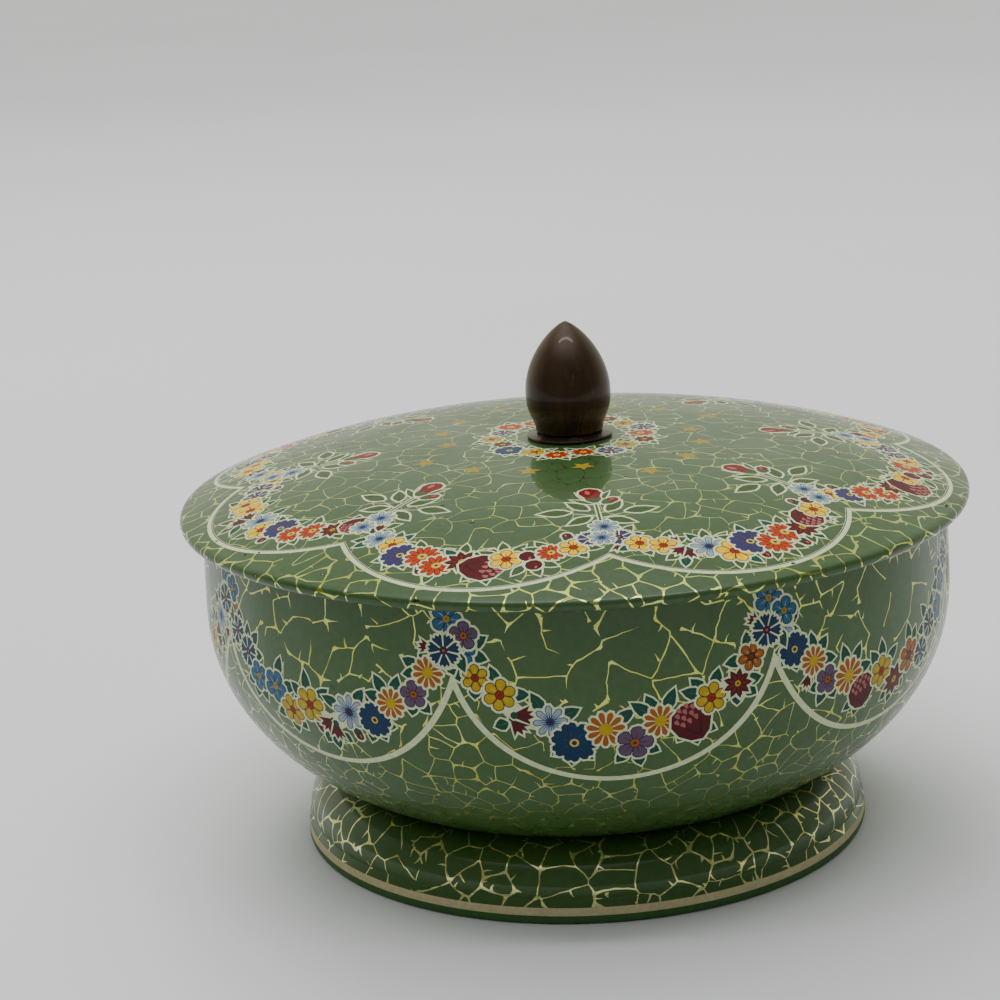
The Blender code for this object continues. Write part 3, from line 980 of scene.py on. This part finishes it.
def bowlTrack():
    look = bowlShape
    share = 1.0 - (look["bottomRadius"] / bellyRadius) ** look["widthPower"]
    depth = look["bellyHeight"] / share ** (1.0 / look["dropPower"])
    points = [(0.0, bowlLow.z)]
    for index in range(61):
        height = look["bellyHeight"] * (1.0 - math.cos(math.pi / 2 * index / 60))
        drop = (look["bellyHeight"] - height) / depth
        radius = bellyRadius * (1.0 - drop ** look["dropPower"]) ** (1.0 / look["widthPower"])
        points.append((radius, bowlLow.z + height))
    for index in range(1, 20):
        share = index / 20
        points.append((bellyRadius - look["lean"] * share ** 2,
                       lerp(bowlLow.z + look["bellyHeight"], rimHeight, share)))
    wallTop = bellyRadius - look["lean"]
    inner = look["bead"] - sheet
    wall = eased(points + [(wallTop, rimHeight)], 1.2)
    curl = eased(arc(wallTop + inner, rimHeight, inner, 180.0, 180.0 - look["beadTurn"], 60), 0.1)
    return newTrack(np.concatenate([wall, curl[1:]]), 1, "strip", bellyRadius)


bowlForm = bowlTrack()
bowlShape["printTo"] = placeAtHeight(bowlForm, rimHeight - 0.1, "distance")
bowlPrint = {"firstDip": -85.0, "cuspHeight": 59.5, "dipHeight": 37.6, "swagCuspHeight": 68.4,
             "swagDipHeight": 47.4, "line": 1.25, "seed": 11}
bowlSwag = {"flowers": 14, "zigzag": 1.9, "small": 2.8, "large": 3.8, "leafChance": 0.85, "lineSide": 0.72,
            "leans": (-0.8, 0.05, 0.85), "leafInks": ("leaf", "leaf"), "leafLength": 4.8, "leafWidth": 2.6,
            "budChance": 0.40, "band": 0.50}
bowlCracks = {"cell": 4.9, "wide": 1.15, "jitter": 0.50, "line": 0.165, "swell": 0.62, "webbed": 0.4,
              "web": 0.42, "step": 1.3, "kink": 0.16, "sway": 0.07, "spurs": 0.35}
bowlKinds = ["bluet", "sunny", "sunny", "thistles", "snowy", "bigBlue", "daisy", "mauve", "daisy", "rose",
             "sunny", "plum", "apricot", "cornflower", "cornflower", "bluet"]
bowlZones = {"swag": (0.58, 0.22, 0.9, 0.8), "above": (0.54, 0.28, 1.25, 0.62),
             "below": (0.86, 0.08, 0.95, 1.0)}


def printBowl():
    rng = random.Random(bowlPrint["seed"])
    cusp, dip, swagCusp, swagDip = (placeAtHeight(bowlForm, bowlPrint[key]) for key in
                                    ("cuspHeight", "dipHeight", "swagCuspHeight", "swagDipHeight"))
    half = math.pi * bellyRadius / sectors
    center, radius = circleThrough(-dip, -cusp, half)
    swagCenter, swagRadius = circleThrough(-swagDip, -swagCusp, half)
    firstX = math.radians(bowlPrint["firstDip"]) * bellyRadius

    def zone(x, y):
        folded = (x - firstX + half) % (2 * half) - half
        if not (-y < center or math.hypot(-y - center, folded) < radius):
            return bowlZones["below"]
        nearSwag = math.hypot(-y - swagCenter, folded) > swagRadius - 4.0 and -y > swagCenter
        return bowlZones["swag" if nearSwag else "above"]

    bottom, top = placeAtHeight(bowlForm, bowlLow.z + 0.6), placeAtHeight(bowlForm, rimHeight - 0.2)
    shapes = crackle(rng, bowlCracks, math.tau * bellyRadius, bottom, top, True, zone)
    edges = [(-2 * radius + center, side * half, 1.0, 0.0) for side in (-1, 1)]
    band = [("cream", lobeBand(center, radius, bowlPrint["line"], edges))]
    spread = math.atan2(half, -swagCusp - swagCenter) * 0.98
    flowers = []
    for lobe in range(sectors):
        spot = (firstX + 2 * half * lobe, 0.0)
        put(shapes, band, spot, -math.pi / 2)
        flowery = swag(rng, bowlSwag, swagCenter, swagRadius, spread, bowlKinds, lobe * 4)
        put(flowers, flowery, spot, -math.pi / 2)
    for lobe in range(sectors):
        x = firstX + 2 * half * (lobe + 0.5)
        put(flowers, leaf(5.0, 2.6), (x - 1.5, swagCusp + 3.0), 2.2)
        put(flowers, leaf(4.6, 2.4), (x + 1.0, swagCusp - 3.0), -1.2)
        put(flowers, bloomOf(rng, "bluet", 3.3), (x - 0.8, swagCusp + 3.4))
        put(flowers, bloomOf(rng, "mauve" if lobe % 2 else "bluet", 3.0), (x + 2.6, swagCusp + 0.2))
        put(flowers, bloomOf(rng, "cornflower", 3.3), (x - 1.6, swagCusp - 3.0))
    return shapes + flowers


bowlGreen = groundMaterial("bowl_green", (0.034, 0.088, 0.016), (0.028, 0.077, 0.015),
                           (0.052, 0.113, 0.028), (0.015, 0.028, 0.012))
bowlGold = goldMaterial("bowl_gold", (0.50, 0.53, 0.15), (0.45, 0.42, 0.06), 0.92)
tinBowl = sheetShell("tin_bowl", bowlForm, bowlShape, printBowl(), bowlGreen, bowlGold)
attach(tinBowl, "bowl")
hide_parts("bowl")
print("bowl printed")


# foot

footHigh = nodeBox("foot")[1]
footShape = {"bead": 1.0, "beadFlat": 15.0, "beadEnd": 210.0, "bandHeight": 3.7, "bandLean": 0.2,
             "creaseHeight": 5.2, "creaseInset": 1.2, "shoulderInset": 0.8, "shoulderHeight": 9.3,
             "flangeMargin": 1.5, "flangeWidth": 10.0, "bend": 7.0, "stride": 2.2, "printFrom": 3.0}


def footTrack():
    # From the flange's inner edge, out over the shoulder and down to the rolled edge.
    look = footShape
    outside = footHigh.x
    topR = bowlShape["bottomRadius"] - look["flangeMargin"]
    reach = outside - look["shoulderInset"] - topR
    points = [(topR - look["flangeWidth"], footHigh.z)]
    for index in range(31):
        turn = math.pi / 2 * (1 - index / 30)
        points.append((topR + reach * math.cos(turn),
                       footHigh.z - look["shoulderHeight"] * (1 - math.sin(turn))))
    beadR = outside - look["bead"]
    beadZ = look["bead"] * math.cos(math.radians(look["beadFlat"]))
    points += [(outside - look["creaseInset"], look["creaseHeight"]),
               (outside - look["bandLean"], look["bandHeight"]), (outside, beadZ + 0.6), (outside, beadZ)]
    curl = arc(beadR, beadZ, look["bead"], 0.0, -90.0 + look["beadFlat"], 20)
    curl += arc(beadR, beadZ, look["bead"], -90.0 - look["beadFlat"], -look["beadEnd"], 40)
    return newTrack(np.concatenate([eased(points, 0.45), eased(curl, 0.15)[1:]]), -1, "strip", outside)


footForm = footTrack()
footShape["printTo"] = placeAtHeight(footForm, 0.05, "distance")
footPrint = {"stripeLow": 2.0, "stripeHigh": 3.7, "seed": 5}
footCracks = {"cell": 5.4, "wide": 1.1, "jitter": 0.50, "line": 0.27, "swell": 0.75, "webbed": 0.45,
              "web": 0.6, "step": 1.4, "kink": 0.16, "sway": 0.08, "spurs": 0.40}
footZone = (0.90, 0.06, 1.0, 0.85)


def printFoot():
    # Cracks above, a buff stripe, and from the stripe down to the rolled edge a plain, lighter green, which
    # is painted bounce light from the floor.
    rng = random.Random(footPrint["seed"])
    width = math.tau * footForm["radius"]
    stripe, edge = (placeAtHeight(footForm, footPrint[key]) for key in ("stripeHigh", "stripeLow"))
    shapes = crackle(rng, footCracks, width, 0.0, stripe + 2.0, True, lambda x, y: footZone)
    for ink, end in (("bounceLitGreen", edge + 20.0), ("buff", edge)):
        shapes.append((ink, [(-width, stripe), (width, stripe), (width, end), (-width, end)]))
    return shapes


footGreen = groundMaterial("foot_green", (0.036, 0.090, 0.015), (0.030, 0.078, 0.014),
                           (0.052, 0.114, 0.027), (0.012, 0.022, 0.010))
# The foot's gold is the gold made brighter: painted reflection of the bright floor in front of the foot.
footGoldLit = goldMaterial("foot_gold_lit", (0.80, 0.82, 0.36), (0.68, 0.63, 0.20), 0.78)
tinFoot = sheetShell("tin_foot", footForm, footShape, printFoot(), footGreen, footGoldLit)
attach(tinFoot, "bowl")
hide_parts("foot")
print("foot printed")


# lid

lidShape = {"bead": 1.4, "beadStart": 60.0, "beadEnd": -180.0, "rise": 11.2, "power": 3.0, "hole": 2.3,
            "printFrom": 5.0, "printEndAngle": -115.0, "bend": 9.0, "stride": 2.4}
lidHigh = nodeBox("lid")[1]
lidRadius = lidHigh.x
lidTop = lidHigh.z


def lidFall(radius):
    # How far the lid lies below its middle at a radius.
    return lidShape["rise"] * (radius / (lidRadius - lidShape["bead"])) ** lidShape["power"]


def lidTrack():
    look = lidShape
    beadZ = lidTop - look["rise"] - look["bead"]
    bead = arc(lidRadius - look["bead"], beadZ, look["bead"], look["beadStart"], look["beadEnd"], 80)
    radii = [lerp(look["hole"], bead[0][0], index / 80) for index in range(80)]
    return newTrack(eased([(radius, lidTop - lidFall(radius)) for radius in radii] + bead, 0.35), -1, "disc")


lidForm = lidTrack()
beadLength = math.radians(lidShape["beadStart"] - lidShape["beadEnd"]) * lidShape["bead"]
lidShape["printTo"] = float(lidForm["distance"][-1]) - beadLength + math.radians(
    lidShape["beadStart"] - lidShape["printEndAngle"]) * lidShape["bead"]
lidPrint = {"firstCusp": -84.8, "cusp": 73.3, "dip": 84.5, "line": 1.25, "hair": 0.22, "hairIn": 0.42,
            "swagCusp": 64.0, "swagDip": 76.0, "sprayFoot": 60.5, "stars": (30.0, 35.5), "wreath": 16.4,
            "wreathFlowers": 18, "seed": 3}
lidSwag = {"flowers": 13, "zigzag": 1.3, "small": 2.7, "large": 3.7, "leafChance": 0.75, "lineSide": 0.9,
           "leans": (-0.75, 0.05, 0.8), "leafInks": ("olive", "leaf"), "leafLength": 4.4, "leafWidth": 2.1,
           "budChance": 0.35, "band": 0.55}
lidCracks = {"cell": 5.4, "wide": 1.0, "jitter": 0.50, "line": 0.20, "swell": 0.60, "webbed": 0.4,
             "web": 0.45, "step": 1.4, "kink": 0.15, "sway": 0.08, "spurs": 0.25}
lidWear = {"chips": 34, "scuffs": 18, "edge": (82.0, 88.8), "field": (24.0, 60.0), "size": (0.20, 0.50),
           "seed": 8}
# the gilt flowers here are painted light: a brighter yellow for the lid's top
lidKinds = ["violet", "gilt", "gilt", "thistles", "snowy", "gilt", "bigViolet", "poppy", "poppy", "plum",
            "rose", "gilt", "berries", "poppy", "gilt", "violet"]
wreathKinds = ("poppy", "violet", "sunny", "plum", "bigBlue", "sunny", "poppy")
lidZones = {"off": (0.0, 0.0, 1.0, 1.0), "inside": (0.84, 0.10, 0.72, 0.85),
            "outside": (0.88, 0.07, 1.30, 0.85)}


def lidSpray(rng, turn):
    # A rosebud spray and its two small flowers, at a cusp.
    foot = lidPrint["sprayFoot"]
    shapes = []
    put(shapes, spray(), polar(foot, turn), turn + math.pi)
    for out, aside, size in ((foot + 1.5, 0.4, 3.0), (foot + 6.0, -0.6, 2.6)):
        bloom = flower("snowy", size, rng.uniform(0, 6))
        put(shapes, bloom, placed([(out, aside)], turn)[0])
    return shapes


def lidWreath(rng):
    shapes = []
    for index in range(lidPrint["wreathFlowers"]):
        turn = math.tau * index / lidPrint["wreathFlowers"]
        spot = polar(lidPrint["wreath"] + (0.9 if index % 2 else -0.7), turn)
        for around in (turn - 0.7, turn + 0.7, turn + 2.5, turn - 2.5):
            put(shapes, leaf(3.4, 1.6, "olive", "deepLeaf", 0.34), polar(1.9, around, *spot), around)
        put(shapes, bloomOf(rng, wreathKinds[index % len(wreathKinds)], rng.uniform(2.7, 3.2)), spot)
    return shapes


def lidScuffs():
    # Small chips along the edge and a few scuffs further in, each with a bright core now and then.
    look = lidWear
    rng = random.Random(look["seed"])
    shapes = []
    for index in range(look["chips"] + look["scuffs"]):
        atEdge = index < look["chips"]
        out = rng.uniform(*look["edge" if atEdge else "field"])
        turn = rng.uniform(0, math.tau)
        size = rng.uniform(*look["size"])
        blob = [(x * rng.uniform(0.5, 1.0), y * rng.uniform(0.8, 2.2)) for x, y in circle(size, 7)]
        put(shapes, [("scuff", blob)], polar(out, turn), turn)
        if atEdge and index % 3 == 0:
            put(shapes, [("bare", placed(blob, 0.0, scale=0.45))], polar(out, turn), turn)
    return shapes


def printLid():
    look = lidPrint
    rng = random.Random(look["seed"])
    halfTurn = math.pi / sectors
    center, radius = circleThrough(look["dip"], *polar(look["cusp"], halfTurn))
    swagX, swagY = polar(look["swagCusp"], halfTurn)
    swagCenter, swagRadius = circleThrough(look["swagDip"], swagX, swagY)
    spread = math.atan2(swagY, swagX - swagCenter) * 0.95
    firstDip = math.radians(look["firstCusp"]) + halfTurn
    reach = float(lidForm["flat"][-1])

    def zone(x, y):
        out = math.hypot(x, y)
        if out > reach:
            return lidZones["off"]
        folded = (math.atan2(y, x) - firstDip + halfTurn) % (2 * halfTurn) - halfTurn
        inside = out < 60.0 or math.hypot(out * math.cos(folded) - center, out * math.sin(folded)) < radius
        return lidZones["inside" if inside else "outside"]

    shapes = crackle(rng, lidCracks, 2 * reach, -reach, reach, False, zone)
    edges = [(0.0, 0.0, math.cos(halfTurn), side * math.sin(halfTurn)) for side in (-1, 1)]
    band = [("cream", lobeBand(center, radius, look["line"], edges)),
            ("hairline", lobeBand(center, radius - look["hairIn"], look["hair"], edges))]
    flowers = []
    for lobe in range(sectors):
        turn = firstDip + 2 * halfTurn * lobe
        put(shapes, band, (0.0, 0.0), turn)
        flowery = swag(rng, lidSwag, swagCenter, swagRadius, spread, lidKinds, lobe * 5)
        put(flowers, flowery, (0.0, 0.0), turn)
    for lobe in range(sectors):
        turn = firstDip + 2 * halfTurn * (lobe + 0.5)
        flowers += lidSpray(rng, turn)
        for out, aside in ((look["stars"][lobe % 2], halfTurn), (look["stars"][1 - lobe % 2] - 3.0, 0.0)):
            put(shapes, [("ochre", circle(2.7, 10, 0.46))], polar(out, turn + aside), turn)
    return shapes + flowers + lidWreath(rng) + lidScuffs()


lidGreen = groundMaterial("lid_green", (0.030, 0.072, 0.017), (0.025, 0.062, 0.016), (0.045, 0.094, 0.028),
                          (0.015, 0.028, 0.012))
lidGold = goldMaterial("lid_gold", (0.61, 0.70, 0.19), (0.50, 0.54, 0.08), 0.96)
tinLid = sheetShell("tin_lid", lidForm, lidShape, printLid(), lidGreen, lidGold)
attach(tinLid, "lid")
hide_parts("lid")
print("lid printed")


# ring that centres the lid

ringLow, ringHigh = nodeBox("lid_locating_ring")
ringShape = {"flange": 5.5, "leadIn": 0.6, "leadHeight": 1.2, "gap": 0.3, "bend": 9.0, "stride": 3.0}


def ringPiece():
    look = ringShape
    outside = ringHigh.x
    points = []
    for radius in np.linspace(outside - look["flange"], outside, 12):
        slope = lidShape["power"] * lidFall(radius) / radius
        clear = (sheet + look["gap"]) * math.sqrt(1 + slope * slope)
        points.append((float(radius), lidTop - lidFall(radius) - clear))
    points += [(outside, ringLow.z + look["leadHeight"]), (outside - look["leadIn"], ringLow.z + 0.02)]
    track = newTrack(eased(points, 0.5), -1)
    end = float(track["distance"][-1])
    places = rowPlaces(track, 0.0, end, look)
    section = outerRows(track, places) + edgeRows(track, end, sheet, 1)
    section += innerRows(track, places[::-1], sheet) + edgeRows(track, 0.0, sheet, -1)
    return buildMesh("tin_lid_ring", [ringFaces(section + section[:1], shellColumns, 0)], [bareTin])


tinRing = ringPiece()
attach(tinRing, "lid")
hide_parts("lid_locating_ring")


# knob, its collar and what fastens them

knobLow, knobHigh = nodeBox("knob")
knobShape = {"bellyHeight": 9.0, "neckRadius": 7.4, "pointPower": 1.85, "roundPower": 0.75,
             "neckPower": 1.5, "boreRadius": 3.8, "boreDepth": 9.8, "ease": 0.35, "columns": 96,
             "bend": 5.0, "stride": 1.6}


def knobMaterial():
    # Moulded brown plastic, marbled, and polished by hands.
    material, tree, shader = newMaterial("knob_brown")
    tone = layered(tree, (0.016, 0.0080, 0.0028),
                   ((85.0, 5.0, 0.6, (1.0, 1.0, 0.35)), (0.38, 0.66), (0.062, 0.031, 0.012)),
                   ((160.0, 7.0, 0.7, (1.0, 1.0, 0.22)), (0.60, 0.70, 0.0, 0.6), (0.13, 0.072, 0.034)))
    feed(tree, shader, {"Base Color": tone,
                        "Roughness": addRange(tree, addNoise(tree, 110.0, 5.0), 0.3, 0.7, 0.30, 0.48),
                        "Specular IOR Level": 0.15, "Coat Weight": 0.25, "Coat Roughness": 0.05})
    addBump(tree, shader, addNoise(tree, 300.0, 3.0), 0.05, 0.0003)
    return material


def knobPiece():
    look = knobShape
    base, top, belly = knobLow.z, knobHigh.z, knobHigh.x
    points = [(0.0, base + look["boreDepth"]), (look["boreRadius"], base + look["boreDepth"]),
              (look["boreRadius"], base)]
    for index in range(41):
        up = look["bellyHeight"] * index / 40
        down = 1.0 - up / look["bellyHeight"]
        ease = (1.0 - math.cos(math.pi * down ** look["neckPower"])) / 2
        points.append((lerp(belly, look["neckRadius"], ease), base + up))
    for index in range(1, 80):
        up = math.sin(math.pi / 2 * index / 80)
        radius = belly * (1.0 - up ** look["pointPower"]) ** look["roundPower"]
        points.append((radius, base + lerp(look["bellyHeight"], top - base, up)))
    return turnedPiece("tin_knob", points + [(0.0, top)], look, knobMaterial())


tinKnob = knobPiece()
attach(tinKnob, "lid")
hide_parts("knob")

collarLow, collarHigh = nodeBox("knob_collar")
collarShape = {"sheet": 0.5, "seat": 7.6, "hole": 2.3, "ease": 0.14, "columns": 96, "bend": 8.0,
               "stride": 1.5}


def collarMaterial():
    # Dark bronze lacquer, rubbed through to a paler metal.
    material, tree, shader = newMaterial("collar_bronze")
    wear = addRange(tree, addNoise(tree, 220.0, 5.0, 0.65), 0.52, 0.70)
    feed(tree, shader, {"Base Color": addMix(tree, wear, (0.045, 0.026, 0.018), (0.16, 0.10, 0.06)),
                        "Roughness": addRange(tree, wear, 0.0, 1.0, 0.26, 0.45), "Metallic": 0.6})
    addBump(tree, shader, addNoise(tree, 500.0, 3.0), 0.08, 0.0002)
    return material


def collarPiece():
    look = collarShape
    outside, top, bottom, thick = collarHigh.x, collarHigh.z, collarLow.z, look["sheet"]
    points = [(look["hole"], top - thick), (look["seat"], top - thick), (outside - thick, bottom),
              (outside, bottom), (outside, bottom + thick), (outside - thick, bottom + thick),
              (look["seat"], top), (look["hole"], top)]
    return turnedPiece("tin_knob_collar", points + points[:1], look, collarMaterial())


tinCollar = collarPiece()
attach(tinCollar, "lid")
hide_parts("knob_collar")

turnedMetals = {         # for each small part: the name of its metal, bright and dull colours, lathe marks
    "knob_insert": ("turned_brass", (0.72, 0.50, 0.20), (0.42, 0.28, 0.11), 900.0),
    "knob_screw": ("plated_steel", (0.62, 0.60, 0.55), (0.34, 0.31, 0.26), 700.0),
    "screw_washer": ("washer_steel", (0.58, 0.58, 0.56), (0.36, 0.34, 0.30), 600.0)}
for node, (name, bright, dull, marks) in turnedMetals.items():
    metal = metalMaterial(name, {"bright": bright, "dull": dull, "stain": (180.0, 5.0, 0.6),
                                 "stained": (0.40, 0.68), "marks": (marks, 4.0, 0.6, (1.0, 1.0, 6.0)),
                                 "relief": (0.10, 0.0001)})
    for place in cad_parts[node].material_slots:
        place.material = metal
print("knob and its fastening made")


# pale floor, which runs back as far as the camera sees; its front part isn't mirrored in the varnish

floorLook = {"half": 30.0, "front": -0.60, "colour": (0.685, 0.70, 0.71), "shade": (0.66, 0.675, 0.685),
             "roughness": 0.75, "specular": 0.15}


def makeFloor():
    look = floorLook
    half = look["half"]
    material, tree, shader = newMaterial("paper_grey")
    tone = layered(tree, look["colour"], ((3.0, 3.0), (0.3, 0.7), look["shade"]))
    feed(tree, shader, {"Base Color": tone, "Roughness": look["roughness"],
                        "Specular IOR Level": look["specular"]})
    addBump(tree, shader, addNoise(tree, 900.0, 2.0), 0.03, 0.0003)
    for name, near, far, mirrored in (("paper_floor", look["front"], half, True),
                                      ("paper_floor_front", -half, look["front"], False)):
        mesh = bpy.data.meshes.new(name)
        mesh.from_pydata([(side * half, y, 0.0) for y in (near, far) for side in (-1, 1)], [], [(0, 1, 3, 2)])
        mesh.materials.append(material)
        floor = newObject(name, mesh)
        floor.visible_glossy = mirrored


makeFloor()


# soft tent light, brightest from above, from the left and from behind

lampLooks = {            # place, aim, size, power, and whether the varnish mirrors the lamp
    "tent_key": ((-0.28, 0.85, 1.30), (0.0, 0.0, 0.05), (0.8, 0.8), 9.5, False),
    "tent_left": ((-1.40, -0.10, 0.90), (0.0, 0.0, 0.05), (0.8, 0.8), 1.6, False),
    "tent_crown": ((0.0, -0.30, 1.20), (0.0, 0.0, 0.10), (1.00, 0.09), 3.2, True)}
worldLook = {"room": (0.19, 0.19, 0.185), "wall": (0.85, 0.88, 0.72), "wallFrom": 0.0, "wallTo": 0.5,
             "top": (2.95, 2.95, 2.95), "topAim": (-0.04, -0.05, 0.99), "topFrom": 0.72, "topTo": 1.0,
             "strength": 1.0}


def makeLamps():
    for name, (place, aim, size, power, mirrored) in lampLooks.items():
        lamp = bpy.data.lights.new(name, "AREA")
        lamp.shape = "RECTANGLE"
        lamp.size, lamp.size_y = size
        lamp.energy = power
        lamp.color = (1.0, 0.995, 0.98)
        holder = newObject(name, lamp)
        holder.location = place
        holder.rotation_euler = (Vector(aim) - Vector(place)).to_track_quat("-Z", "Y").to_euler()
        holder.visible_glossy = mirrored


def makeWorld():
    # The tent that the varnish mirrors: a dim room, a pale wall behind the tin and a bright top.
    look = worldLook
    world = bpy.data.worlds.new("tent")
    world.use_nodes = True
    tree = world.node_tree
    toward = addNode(tree, "TexCoord", {}).outputs["Generated"]
    parts = addNode(tree, "SeparateXYZ", {"Vector": toward})
    aimed = addNode(tree, "VectorMath", {0: toward, 1: look["topAim"]}, operation="DOT_PRODUCT")
    behind = addRange(tree, parts.outputs["Y"], look["wallFrom"], look["wallTo"])
    above = addRange(tree, aimed.outputs["Value"], look["topFrom"], look["topTo"])
    tone = addMix(tree, above, addMix(tree, behind, look["room"], look["wall"]), look["top"])
    feed(tree, tree.nodes["Background"], {"Color": tone, "Strength": look["strength"]})
    bpy.context.scene.world = world


makeLamps()
makeWorld()


# camera, matched to the photograph's view of the tin

cameraLook = {"place": (0.0, -0.5389, 0.2168), "pitch": 14.792, "roll": -0.05154, "pan": 0.03004,
              "lens": 90.0, "sensor": 36.0}


def makeCamera():
    look = cameraLook
    view = bpy.data.cameras.new("photo_view")
    view.lens = look["lens"]
    view.sensor_width = look["sensor"]
    camera = newObject("photo_view", view)
    camera.matrix_world = Matrix.Translation(look["place"])
    for turn, axis in ((look["pan"], "Z"), (math.pi / 2 - math.radians(look["pitch"]), "X"),
                       (look["roll"], "Z")):
        camera.matrix_world @= Matrix.Rotation(turn, 4, axis)
    bpy.context.scene.camera = camera


makeCamera()
print("stage, lights and camera ready")
